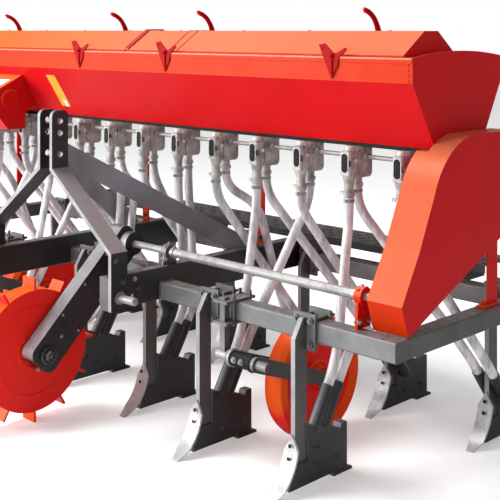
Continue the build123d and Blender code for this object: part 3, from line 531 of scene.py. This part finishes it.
def ring(inner, outer, start, end):
    """Profile of a plain ring, for hoop."""
    return ((inner, start), (outer, start), (outer, end), (inner, end))


def disc(radius, top, rim, high):
    """Profile of a disc whose upper edge slopes in to a smaller top, for hoop."""
    return ((0.0, 0.0), (radius, 0.0), (radius, rim), (top, high), (0.0, high))


def hoop(mesh, place, axis, profile, sides):
    """Turn a closed (radius, height) profile once round an axis."""
    turn = facing(place, axis)
    points = [mesh.verts.new(turn @ Vector((radius, 0, high))) for radius, high in profile]
    face = mesh.faces.new(points)
    bmesh.ops.spin(mesh, geom=[face, *face.edges, *points], cent=Vector(place),
                   axis=Vector(axis).normalized(), angle=math.tau, steps=sides, use_merge=True,
                   use_duplicate=False)
    bmesh.ops.remove_doubles(mesh, verts=mesh.verts, dist=1e-6)
    if len(profile) > 4:
        # the face the turn began with would stay inside the form
        inside = [face for face in mesh.faces if len(face.verts) == len(profile)]
        bmesh.ops.delete(mesh, geom=inside, context="FACES_ONLY")


def bolt_circle(middle, radius, count, start=0.0):
    """Even places on a circle about an axis along X."""
    for k in range(count):
        turn = math.tau * k / count + start
        yield middle + Vector((0, radius * math.cos(turn), radius * math.sin(turn)))


def circle_through(a, b, c):
    """Middle and radius of the circle through three flat points."""
    area = 2 * (a.x * (b.y - c.y) + b.x * (c.y - a.y) + c.x * (a.y - b.y))
    squares = [point.length_squared for point in (a, b, c)]
    x = (squares[0] * (b.y - c.y) + squares[1] * (c.y - a.y) + squares[2] * (a.y - b.y)) / area
    y = (squares[0] * (c.x - b.x) + squares[1] * (a.x - c.x) + squares[2] * (b.x - a.x)) / area
    return Vector((x, y)), (a - Vector((x, y))).length


def linked(verts, kind):
    """The edges or faces at some verts, each once and in a fixed order."""
    return list(dict.fromkeys(part for vert in verts for part in getattr(vert, kind)))


def soften(mesh, edges, offset, segments):
    """Round some edges off."""
    bmesh.ops.bevel(mesh, geom=edges, offset=offset, offset_type="OFFSET", segments=segments,
                    profile=0.5, affect="EDGES", material=-1)


def box(mesh, near, far, edge=0.0):
    """A block between two corners with its edges broken; gives back its verts."""
    near, far = Vector(near), Vector(far)
    place = Matrix.Translation((near + far) / 2) @ Matrix.Diagonal((*(far - near), 1.0))
    verts = bmesh.ops.create_cube(mesh, size=1.0, matrix=place)["verts"]
    if edge:
        soften(mesh, linked(verts, "link_edges"), edge, 2)
    return verts


def ribbon(mesh, path, across, thick, up):
    """A strip that follows a path, widened along one way and thickened along another."""
    def move(geom, vec):
        verts = [part for part in geom if isinstance(part, bmesh.types.BMVert)]
        bmesh.ops.translate(mesh, verts=verts, vec=vec)

    verts = [mesh.verts.new(Vector(point)) for point in path]
    edges = [mesh.edges.new(pair) for pair in zip(verts, verts[1:])]
    widened = bmesh.ops.extrude_edge_only(mesh, edges=edges)["geom"]
    move(widened, Vector(across))
    faces = [part for part in widened if isinstance(part, bmesh.types.BMFace)]
    move(bmesh.ops.extrude_face_region(mesh, geom=faces)["geom"], Vector(up).normalized() * thick)


# ---- places taken from the frame ----
# heights and depths of forms that the frame's boxes don't give
ROWS = 13  # of tynes, each with its metering unit
SHANK_DEEP = 0.065
INNER_TYNES = 0.3  # front tynes nearer the middle than this stand before the centre beam
LIP_FOOT, LIP_TOP = 1.301, 1.3845  # the hopper's upright lip
WALL_RUN, WALL_DROP = 0.126, 0.221  # the hopper's slanting front below its lip
WALL_OUT, WALL_DOWN = Vector((0, -0.869, -0.495)), Vector((0, 0.495, -0.869))  # off it, down it
LID_RISE = 0.0865  # from a lid's rim to its flat top
STOP_CURVE = ((0.229, 1.4635), (0.214, 1.506), (0.155, 1.5455))  # y, z along a lid's stop
STOP_PLACES = (0.290, 1.165)  # from the seam between the lids
CATCH_BOLT_HIGH = 1.3855
UNIT_FRONT, SLOT_HIGH = 0.038, 1.012  # y of a unit's front, z of the slot in it
UNIT_SIDE = 0.0222  # from a unit's middle along x
# ends of a unit's two outlets, from its middle along x
FRONT_OUTLET = Vector((0.0, 0.062, 0.8745))
REAR_OUTLET = Vector((-0.024, 0.138, 0.8995))
LOWER_PIN = (-0.445, 0.517)  # y, z
DEPTH_TUBE = (-0.268, 0.352)  # y, z
ARM_FACE = 0.122  # x of the arm's outer face


def low(node):
    """Lowest corner of a node at rest."""
    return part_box(node)[0]


def high(node):
    """Highest corner of a node at rest."""
    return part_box(node)[1]


def joint_place(name):
    """Where a joint of the record turns."""
    joints = frame["record"]["behaviour"]["joints"]
    return next(Vector(row["pos_m"]) for row in joints if row["name"] == name)


def unit_places():
    """Middle of each metering unit along the machine."""
    first, last = high("hopper_end_right").x - 0.109, low("hopper_end_left").x + 0.055
    return [first + (last - first) * k / (ROWS - 1) for k in range(ROWS)]


def row_places(row):
    """Middle of each tyne in a row along the machine."""
    end, half = high("rear_beam").x - 0.130, (ROWS - 1) // 2
    return [end - end * k / half for k in range(ROWS) if (k % 2 == 0) == (row == "rear")]


def tyne_front(row, x):
    """Front edge of a tyne's shank."""
    if row == "front" and abs(x) < INNER_TYNES:
        return low("centre_beam").y - SHANK_DEEP
    return low("rear_beam" if row == "rear" else "front_beam_right").y - SHANK_DEEP


def hopper_face(z, lift=0.0):
    """The y of the hopper's slanting front at a height, moved off it by a lift."""
    return low("hopper_front").y + WALL_RUN * (LIP_FOOT - z) / WALL_DROP - lift


# ---- lids ----
def lid_path(lift):
    """The y and z of a lid's top from its front edge to its back edge, raised by a lift."""
    rim = low("front_lid_right")
    base, top = rim.z + lift, rim.z + LID_RISE + lift
    return [(rim.y, base + 0.006), (0.118, top), (0.196, top), (0.298, base + 0.008)]


class DRILL_OT_lid_seam(bpy.types.Operator):
    """Raised cover strip over the seam between the lids, and pressed ribs beside it"""

    bl_idname = "drill.lid_seam"
    bl_label = "Lid Seam and Ribs"

    def execute(self, context):
        def rib(mesh, x, lift, wide, thick):
            ribbon(mesh, [(x, y, z) for y, z in lid_path(lift)], X * wide, thick, Z)

        seam = low("front_lid_right").x - 0.005
        mesh = bmesh.new()
        rib(mesh, seam - 0.009, 0.0005, 0.026, sizes().rib_high)
        keep(mesh, "lid_seam_strip", "seam_red", "front_lid_right")
        mesh = bmesh.new()
        for place in (0.275, 0.325):
            rib(mesh, seam + place, 0.0002, 0.004, 0.0018)
        keep(mesh, "lid_ribs_right", "seam_red", "front_lid_right")
        for side in ("right", "left"):
            node = f"front_lid_{side}"
            near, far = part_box(node)
            long = far.x - near.x
            mesh = bmesh.new()
            box(mesh, (near.x + 0.004, near.y - 0.0012, near.z + 0.0004),
                (far.x - 0.004, near.y + 0.0002, near.z + 0.0058), 0.0004)
            for share in (0.12, 0.38, 0.62, 0.88):
                screw(mesh, (near.x + share * long, 0.157, near.z + 0.0868), Z, 0.007)
            keep(mesh, f"lid_hem_{side}", "hopper_paint", node)
            mesh = bmesh.new()
            for share in (0.15, 0.5, 0.85):
                for along in (-0.0405, -0.0135, 0.0135, 0.0385):
                    place = (near.x + share * long + along, 0.308, near.z + 0.006)
                    hoop(mesh, place, X, ring(0.0061, 0.0072, 0, 0.002), 16)
            keep(mesh, f"lid_hinge_rings_{side}", "bolt_zinc", node)
        return {"FINISHED"}


class DRILL_OT_stop_sleeves(bpy.types.Operator):
    """Round sleeves on the curved lid stops, and bolts and ridges on the catches"""

    bl_idname = "drill.stop_sleeves"
    bl_label = "Lid Stops and Catches"

    def execute(self, context):
        seam = (low("front_lid_right").x + high("front_lid_left").x) / 2
        root, middle, tip = (Vector(point) for point in STOP_CURVE)
        centre, radius = circle_through(root, middle, tip)
        start, end = (math.atan2(*(point - centre).yx) for point in (root, tip))
        for side, name in ((1, "right"), (-1, "left")):
            mesh = bmesh.new()
            for place in STOP_PLACES:
                x = seam + side * place
                foot = (x, centre.x + radius * math.cos(start), centre.y + radius * math.sin(start))
                ahead = Vector((0, -math.sin(start), math.cos(start)))
                made = bmesh.ops.create_circle(mesh, cap_ends=True, segments=14, radius=0.0095,
                                               matrix=facing(foot, ahead))["verts"]
                geom = linked(made, "link_faces") + linked(made, "link_edges") + made
                bmesh.ops.spin(mesh, geom=geom, cent=(x, *centre), axis=X, angle=end - start,
                               steps=12, use_merge=False, use_duplicate=False)
            keep(mesh, f"lid_stop_sleeves_{name}", "catch_red", f"front_lid_{name}")
        mesh = bmesh.new()
        front, top = low("lid_catches").y, CATCH_BOLT_HIGH
        for side in (-1, 1):
            for place in STOP_PLACES:
                x = seam + side * place
                box(mesh, (x - 0.004, front - 0.0045, top - 0.062),
                    (x + 0.006, front - 0.0002, top - 0.012), 0.0012)
                hex_bolt(mesh, (x + 0.002, front - 0.0002, top), -Y, 0.014)
                screw(mesh, (x - 0.040, front - 0.0002, top + 0.030), -Y)
        keep(mesh, "lid_catch_ridges", "catch_red")
        return {"FINISHED"}


# ---- hopper ----
class DRILL_OT_hopper_trim(bpy.types.Operator):
    """Rolled lip, rivets and end seams of the hopper"""

    bl_idname = "drill.hopper_trim"
    bl_label = "Hopper Trim"

    def execute(self, context):
        near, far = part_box("hopper_front")
        front = near.y
        mesh = bmesh.new()
        box(mesh, (near.x, front - 0.0016, LIP_TOP - 0.019), (far.x, front - 0.0001, LIP_TOP), 0.0006)
        box(mesh, (near.x, front - 0.0012, LIP_FOOT + 0.0005),
            (far.x, front - 0.0001, LIP_FOOT + 0.0045), 0.0004)
        keep(mesh, "hopper_lip_hem", "hopper_paint")
        mesh = bmesh.new()
        for x in (far.x - 0.014, near.x + 0.014):
            for k in range(4):
                screw(mesh, (x, front - 0.0016, LIP_FOOT + 0.009 + 0.0175 * k), -Y, 0.004)
            for k in range(6):
                z = LIP_FOOT - 0.016 - 0.036 * k
                screw(mesh, (x, hopper_face(z, 0.0002), z), WALL_OUT, 0.005)
        keep(mesh, "hopper_end_rivets", "hopper_paint")
        mesh = bmesh.new()
        for face, out in ((high("hopper_end_right").x, X), (low("hopper_end_left").x, -X)):
            for y, z in ((0.0, 1.36), (0.12, 1.375), (0.24, 1.38), (0.36, 1.375), (0.48, 1.36),
                         (0.005, 1.31), (0.475, 1.31)):
                screw(mesh, (face, y, z), out)
        keep(mesh, "hopper_end_bolts", "hopper_paint")
        mesh = bmesh.new()
        # painted highlight: a thin pale strip along the top edge of the lip
        box(mesh, (near.x, front - 0.0022, LIP_TOP - 0.006), (far.x, front - 0.0017, LIP_TOP), 0.0002)
        keep(mesh, "hopper_lip_edge", "hem_paint")
        return {"FINISHED"}


class DRILL_OT_strip(bpy.types.Operator):
    """Plain yellow strip with a pale tip on the front of the hopper"""

    bl_idname = "drill.strip"
    bl_label = "Strip on the Hopper"

    def execute(self, context):
        top = Vector((-0.690, hopper_face(1.268, 0.0006), 1.268))
        along = X * 0.014 + WALL_DOWN * 0.168
        # columns: name, start, run, width, lift, finish
        for name, start, run, wide, lift, finish in (
            ("strip_yellow", top, along, sizes().strip_wide, 0.0004, "strip_yellow"),
            ("strip_tip", top + along * 0.80 + X * 0.032, along * 0.2, 0.024, 0.0012, "cap_white"),
        ):
            mesh = bmesh.new()
            foot = start + WALL_OUT * lift
            ribbon(mesh, [foot, foot + run], X * wide, 0.0008, WALL_OUT)
            keep(mesh, name, finish)
        return {"FINISHED"}


class DRILL_OT_gearbox(bpy.types.Operator):
    """Cover plate, bare label, end cap and bolts of the seed-rate gear box"""

    bl_idname = "drill.gearbox"
    bl_label = "Gear Box Trim"

    def execute(self, context):
        near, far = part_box("rate_gearbox")
        front, half_up, slope_high = near.y, (near.z + far.z) / 2, 0.062
        mesh = bmesh.new()
        box(mesh, (near.x + 0.018, front - 0.003, near.z + 0.075),
            (far.x - 0.018, front + 0.0005, far.z - 0.080), 0.0012)
        for x in (near.x + 0.034, far.x - 0.034):
            for z in (near.z + 0.092, half_up, far.z - 0.098):
                hex_bolt(mesh, (x, front - 0.003, z), -Y, 0.010)
        keep(mesh, "gearbox_cover", "seam_red")
        slope = Vector((0, hopper_face(far.z) - front, slope_high))
        out = Vector((0, -slope.z, slope.y)).normalized()
        foot = Vector((near.x + 0.150, front, far.z - slope_high)) + out * 0.0005
        mesh = bmesh.new()
        ribbon(mesh, [foot + slope * 0.18, foot + slope * 0.62], X * 0.145, 0.001, out)
        keep(mesh, "gearbox_label", "cap_white")
        mesh = bmesh.new()
        middle = Vector((far.x, front / 2 - 0.004, half_up + 0.01))
        hoop(mesh, middle, X, disc(0.052, 0.046, 0.004, 0.007), 32)
        for place in bolt_circle(middle + X * 0.004, 0.040, 6):
            hex_bolt(mesh, place, X, 0.008, False)
        keep(mesh, "gearbox_end_cap", "hopper_paint")
        return {"FINISHED"}


# ---- metering units and tubes ----
class DRILL_OT_units(bpy.types.Operator):
    """Black plates for the shaded slots, white cap bolts and screws of the metering units, and the dark
    strip under the hopper floor
    """

    bl_idname = "drill.units"
    bl_label = "Metering Unit Details"

    def execute(self, context):
        slot_shades, caps, rims, screws = (bmesh.new() for _ in range(4))
        # columns: mesh, half width, half height, how far it stands out
        plates = ((rims, 0.0175, 0.0370, 0.0012), (slot_shades, 0.0135, 0.0335, 0.0020))
        dome = ((0.0, 0.0), (0.0142, 0.0), (0.0150, 0.003), (0.0150, 0.012), (0.0125, 0.0155),
                (0.0, 0.0155))
        for x in unit_places():
            for mesh, half, tall, proud in plates:
                verts = box(mesh, (x - half, UNIT_FRONT - proud, SLOT_HIGH - tall),
                            (x + half, UNIT_FRONT + 0.0004, SLOT_HIGH + tall))
                posts = [edge for edge in linked(verts, "link_edges")
                         if abs(edge.verts[0].co.y - edge.verts[1].co.y) > 1e-5]
                soften(mesh, posts, half * 0.95, 4)
            hoop(caps, (x, 0.062, 1.0555), Z, dome, 18)
            turned(caps, (x + UNIT_SIDE, 0.072, 1.020), X, 0.0075, 0.0062, 0.004, 14)
            for y in (0.094, 0.152):
                for z in (0.972, 1.052):
                    screw(screws, (x + UNIT_SIDE - 0.0001, y, z), X, 0.0048)
            for along in (-0.038, 0.022):
                hex_bolt(screws, (x + along, 0.157, 1.0655), -Z, 0.009)
        # painted shade: a black plate stands for the shaded inside of each slot
        keep(slot_shades, "unit_slot_linings", "rubber_black")
        near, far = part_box("hopper_floor")
        # a dark strip under the hopper floor, partly a rubber strip and partly painted shadow below the
        # hopper
        strip_and_shadow = bmesh.new()
        box(strip_and_shadow, (near.x + 0.01, near.y + 0.0002, near.z - 0.0135),
            (far.x - 0.01, near.y + 0.0036, near.z - 0.0003), 0.001)
        keep(strip_and_shadow, "hopper_floor_seal", "rubber_black")
        keep(rims, "unit_slot_rims", "bolt_zinc")
        keep(caps, "unit_cap_bolts", "cap_white")
        keep(screws, "unit_screws", "bolt_zinc")
        return {"FINISHED"}


class DRILL_OT_clips(bpy.types.Operator):
    """Spring clips where the tubes leave the metering units"""

    bl_idname = "drill.clips"
    bl_label = "Tube Clips"

    def execute(self, context):
        mesh = bmesh.new()
        wide = sizes().clip_wide
        for x in unit_places():
            for outlet in (FRONT_OUTLET, REAR_OUTLET):
                foot = X * x + outlet
                hoop(mesh, foot, Z, ring(0.0172, 0.0192, 0.0, wide), 20)
                box(mesh, foot + Vector((-0.004, -0.0262, 0.0005)),
                    foot + Vector((0.004, -0.0188, wide - 0.0005)), 0.0008)
                pin = foot + Vector((-0.008, -0.0225, wide / 2))
                turned(mesh, pin, X, 0.0022, 0.0022, 0.016, 8)
        keep(mesh, "tube_clips", "bolt_zinc")
        return {"FINISHED"}


# ---- tynes ----
class DRILL_OT_tyne_bolts(bpy.types.Operator):
    """Bolts through the shanks, the shovels and the boots"""

    bl_idname = "drill.tyne_bolts"
    bl_label = "Tyne Bolts"

    def execute(self, context):
        for row in ("front", "rear"):
            shovel, boot = bmesh.new(), bmesh.new()
            for x in row_places(row):
                front = tyne_front(row, x)
                for z, ahead, lean in ((0.150, 0.0141, 0.24), (0.112, 0.0217, -0.10)):
                    turned(shovel, (x, front - ahead, z), (0, -0.97, lean), 0.0064, 0.0064, 0.0016, 12)
                for side in (-1, 1):
                    place = (x + side * 0.009, front + 0.044, 0.530)
                    turned(boot, place, X * side, 0.0075, 0.0068, 0.0035, 12)
                for y, z in ((0.100, 0.060), (0.100, 0.118), (0.205, 0.060)):
                    for side in (-1, 1):
                        hex_bolt(boot, (x + side * 0.017, front + y, z), X * side, 0.011)
            keep(shovel, f"shovel_bolts_{row}", "rubber_black")
            keep(boot, f"boot_bolts_{row}", "boot_paint")
        return {"FINISHED"}


# ---- frame and hitch ----
class DRILL_OT_welds(bpy.types.Operator):
    """Rippled weld beads where the beams and the hitch members meet"""

    bl_idname = "drill.welds"
    bl_label = "Weld Beads"

    def execute(self, context):
        mesh = bmesh.new()
        inside, outside = low("hitch_member_right").x, high("hitch_member_right").x
        near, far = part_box("front_beam_right")
        cross, cross_back = low("centre_beam").y, high("centre_beam").y
        rear, edge, tip = low("rear_beam").y, low("end_beam_right").x, 1.4735
        foot, top = near.z + 0.006, far.z
        runs = (
            ((outside, near.y + 0.004, top), (outside, far.y - 0.004, top)),
            ((outside, near.y, foot), (outside, near.y, top - 0.004)),
            ((edge, far.y, foot), (edge, far.y, top - 0.006)),
            ((edge, far.y, top - 0.001), (tip, far.y, top - 0.001)),
            ((edge, rear, top - 0.001), (tip, rear, top - 0.001)),
            ((inside, rear, foot), (inside, rear, top + 0.05)),
            ((outside, rear, foot), (outside, rear, top + 0.05)),
            ((inside, cross, foot), (inside, cross, top - 0.004)),
            ((inside, cross + 0.004, top), (inside, cross_back - 0.004, top)),
        )
        for side in (-1, 1):
            for run in runs:
                start, end = (Vector((side * x, y, z)) for x, y, z in run)
                count = max(2, round((end - start).length / 0.0065))
                for k in range(count + 1):
                    place = Matrix.Translation(start.lerp(end, k / count))
                    bmesh.ops.create_icosphere(mesh, subdivisions=1, radius=0.0052, matrix=place)
        keep(mesh, "weld_beads", "frame_paint")
        return {"FINISHED"}


class DRILL_OT_hitch_bolts(bpy.types.Operator):
    """Bolts on the mast, the hitch members, the posts and the bearings"""

    bl_idname = "drill.hitch_bolts"
    bl_label = "Hitch and Post Bolts"

    def execute(self, context):
        dark, bright = bmesh.new(), bmesh.new()
        bar, member = high("mast_bar_right").x, high("hitch_member_right").x
        pin_y, pin_z = LOWER_PIN
        for side in (-1, 1):
            out = X * side
            for y, z in ((-0.462, 0.650), (-0.425, 0.570)):
                hex_bolt(dark, (side * bar, y, z), out)
            for y, z in ((-0.345, 0.530), (0.450, 0.530), (0.490, 0.560)):
                hex_bolt(dark, (side * member, y, z), out)
            hex_bolt(bright, (side * member, -0.362, 0.568), out, 0.013)
            for z in (0.620, 0.570):
                hex_bolt(dark, (side * (member - 0.025), 0.322, z), -Y, 0.015)
            link_pin = (side * (bar + 0.074), pin_y, pin_z + 0.0135)
            turned(bright, link_pin, Z, 0.0042, 0.0042, 0.012, 10)
            collar = (side * (bar + 0.002), pin_y, pin_z)
            hoop(bright, collar, out, ring(0.0141, 0.0235, 0.0, 0.006), 24)
        keep(dark, "hitch_plate_bolts", "hitch_paint")
        shaft_y = joint_place("drive_shaft_spin").y
        for name in ("inner_bearing", "outer_bearing"):
            near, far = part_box(name)
            middle = (near.x + far.x) / 2
            for y in (near.y + 0.010, far.y - 0.010):
                for side in (1, -1):
                    hex_bolt(bright, (middle + side * 0.005, y, near.z + 0.022), X * side, 0.013)
            turned(bright, (middle, shaft_y, far.z - 0.002), Z, 0.0055, 0.0040, 0.009, 10)
        for name, share, shift in (("end_post_right", 0.5, -0.010), ("end_post_left", 0.0, 0.008)):
            near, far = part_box(name)
            x = near.x + (far.x - near.x) * share + shift
            for y in (0.300, 0.345):
                hex_bolt(bright, (x, y, near.z + 0.008), Z, 0.012)
        keep(bright, "hitch_bolts", "bolt_zinc")
        return {"FINISHED"}


# ---- wheels and drive ----
class DRILL_OT_wheel_trim(bpy.types.Operator):
    """Hub rings, bolts and nuts of the wheels, and the sleeves on the depth wheels' tubes"""

    bl_idname = "drill.wheel_trim"
    bl_label = "Wheel Trim"

    def ground_wheel(self):
        axle = joint_place("ground_wheel_spin")
        mesh = bmesh.new()
        for face, out in ((0.042, X), (0.037, -X)):
            at = axle + X * face
            hoop(mesh, at, out, ((0.060, 0.0), (0.078, 0.0), (0.078, 0.0024), (0.060, 0.0034)), 40)
            for place in bolt_circle(at + out * 0.0028, 0.069, 6, 0.3):
                hex_bolt(mesh, place, out, 0.009, False)
        keep(mesh, "ground_wheel_hub_ring", "wheel_paint", "ground_wheel")
        mesh = bmesh.new()
        seat = high("ground_wheel").x - 0.0096  # just off the arm's boss
        hoop(mesh, (seat, axle.y, axle.z), X, disc(0.034, 0.028, 0.003, 0.006), 30)
        hex_bolt(mesh, (seat + 0.006, axle.y, axle.z), X, 0.034, False)
        keep(mesh, "ground_wheel_axle_nut", "hitch_paint", "ground_wheel")

    def depth_wheel(self, side, name):
        near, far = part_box(f"depth_wheel_{name}")
        middle = (near + far) / 2
        mesh = bmesh.new()
        for way in (-1, 1):
            out = X * way
            at = middle + out * ((far.x - near.x) / 2 - 0.030)
            hoop(mesh, at, out, ((0.052, -0.001), (0.064, -0.001), (0.064, 0.004), (0.052, 0.006)), 36)
            for place in bolt_circle(at, 0.090, 5):
                hex_bolt(mesh, place, out, 0.011, False)
        keep(mesh, f"depth_wheel_hub_{name}", "wheel_paint", f"depth_wheel_{name}")

        def band(mesh, along, inner, outer, half):
            place = (middle.x + side * along, *DEPTH_TUBE)
            hoop(mesh, place, X, ring(inner, outer, -half, half), 24)

        y, z = DEPTH_TUBE
        mesh = bmesh.new()
        band(mesh, -0.089, 0.0171, 0.0180, 0.033)
        band(mesh, -0.0485, 0.0262, 0.0315, 0.0045)
        for along in (-0.020, 0.014):
            hex_bolt(mesh, (middle.x + along, y - 0.0262, z + 0.004), -Y, 0.014)
        keep(mesh, f"depth_tube_sleeves_{name}", "shaft_steel")
        mesh = bmesh.new()
        band(mesh, 0.0, 0.0251, 0.0262, 0.0515)
        band(mesh, 0.0475, 0.0263, 0.0295, 0.0035)
        keep(mesh, f"depth_tube_bands_{name}", "rubber_black")

    def execute(self, context):
        self.ground_wheel()
        self.depth_wheel(1, "right")
        self.depth_wheel(-1, "left")
        return {"FINISHED"}


class DRILL_OT_shaft_sleeve(bpy.types.Operator):
    """Galvanised sleeve with end rings over the long drive shaft"""

    bl_idname = "drill.shaft_sleeve"
    bl_label = "Drive Shaft Sleeve"

    def execute(self, context):
        y, z = joint_place("drive_shaft_spin").yz
        near, far = high("inner_bearing").x + 0.006, low("outer_bearing").x - 0.006
        mesh = bmesh.new()
        hoop(mesh, (near, y, z), X, ring(0.0132, 0.0162, 0.0, far - near), 28)
        keep(mesh, "drive_shaft_sleeve", "shaft_steel", "drive_shaft")
        mesh = bmesh.new()
        collar = ((0.0164, 0.0), (0.0200, 0.0015), (0.0200, 0.0145), (0.0164, 0.016))
        for place in (near, far - 0.016):
            hoop(mesh, (place, y, z), X, collar, 28)
            hex_bolt(mesh, (place + 0.008, y, z + 0.0198), Z, 0.008, False)
        keep(mesh, "drive_shaft_rings", "bolt_zinc", "drive_shaft")
        return {"FINISHED"}


class DRILL_OT_arm_trim(bpy.types.Operator):
    """Screws and bolts on the ground wheel's arm, and screws round the chain cover"""

    bl_idname = "drill.arm_trim"
    bl_label = "Arm and Cover Trim"

    def execute(self, context):
        pivot, axle = joint_place("arm_swing"), joint_place("ground_wheel_spin")
        pivot.x = axle.x = ARM_FACE
        way = (axle - pivot).normalized()
        side = Vector((0, -way.z, way.y))
        mesh = bmesh.new()
        for along in (0.10, 0.24, 0.38):
            for across in (-0.050, 0.050):
                screw(mesh, pivot + way * along + side * across, X, 0.0055)
        for along in (0.440, 0.585):
            hex_bolt(mesh, pivot + way * along, X, 0.010)
        keep(mesh, "arm_screws", "bolt_zinc", "ground_arm")
        mesh = bmesh.new()
        outside = high("chain_cover").x
        for y, z in ((-0.150, 0.640), (-0.080, 0.800), (0.000, 0.960), (0.090, 1.070),
                     (0.220, 1.110), (0.420, 1.105), (0.490, 1.010), (0.460, 0.905),
                     (0.300, 0.752), (0.080, 0.660), (-0.090, 0.590)):
            screw(mesh, (outside - 0.0002, y, z), X, 0.0052)
        keep(mesh, "cover_screws", "seam_red")
        return {"FINISHED"}


class DRILL_OT_board_tread(bpy.types.Operator):
    """Raised tread bars and bolts on the footboard"""

    bl_idname = "drill.board_tread"
    bl_label = "Footboard Tread"

    def execute(self, context):
        near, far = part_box("footboard")
        bars, lines = 60, 4
        bar = Matrix.Diagonal((0.026, 0.005, 0.0018, 1.0))
        mesh = bmesh.new()
        for k in range(bars):
            x = near.x + (far.x - near.x) * (k + 0.5) / bars
            for j in range(lines):
                lean = math.pi / 4 if (k + j) % 2 else -math.pi / 4
                place = Matrix.Translation((x, near.y + 0.035 + 0.043 * j, far.z + 0.0009))
                turn = place @ Matrix.Rotation(lean, 4, "Z")
                bmesh.ops.create_cube(mesh, size=1.0, matrix=turn @ bar)
        keep(mesh, "footboard_tread", "board_paint")
        mesh = bmesh.new()
        for x in (-1.125, -0.330, 0.330, 1.125):
            for y in (near.y + 0.055, near.y + 0.145):
                hex_bolt(mesh, (x, y, far.z), Z, 0.012)
        keep(mesh, "footboard_bolts", "bolt_zinc")
        return {"FINISHED"}


class DRILL_PT_sidebar(bpy.types.Panel):
    """Sizes, colours and the steps that dress the drill"""

    bl_idname = "DRILL_PT_sidebar"
    bl_label = "Seed Drill"
    bl_space_type = "VIEW_3D"
    bl_region_type = "UI"
    bl_category = "Seed Drill"

    def draw(self, context):
        for group in (context.scene.drill_sizes, context.scene.drill_colours):
            rows = self.layout.box()
            for name in group.bl_rna.properties.keys():
                if name not in ("rna_type", "name"):
                    rows.prop(group, name)
        for step in STEPS:
            self.layout.operator(step.bl_idname)


STEPS = (
    DRILL_OT_finishes,
    DRILL_OT_lid_seam,
    DRILL_OT_stop_sleeves,
    DRILL_OT_hopper_trim,
    DRILL_OT_strip,
    DRILL_OT_gearbox,
    DRILL_OT_units,
    DRILL_OT_clips,
    DRILL_OT_tyne_bolts,
    DRILL_OT_welds,
    DRILL_OT_hitch_bolts,
    DRILL_OT_wheel_trim,
    DRILL_OT_shaft_sleeve,
    DRILL_OT_arm_trim,
    DRILL_OT_board_tread,
    DRILL_OT_stage,
)
CLASSES = (DrillColours, DrillSizes, *STEPS, DRILL_PT_sidebar)


def register():
    for item in CLASSES:
        bpy.utils.register_class(item)
    bpy.types.Scene.drill_colours = PointerProperty(type=DrillColours)
    bpy.types.Scene.drill_sizes = PointerProperty(type=DrillSizes)


def unregister():
    del bpy.types.Scene.drill_sizes
    del bpy.types.Scene.drill_colours
    for item in reversed(CLASSES):
        bpy.utils.unregister_class(item)


def main():
    register()
    for step in STEPS:
        group, name = step.bl_idname.split(".")
        getattr(getattr(bpy.ops, group), name)()


if __name__ == "__main__":
    main()
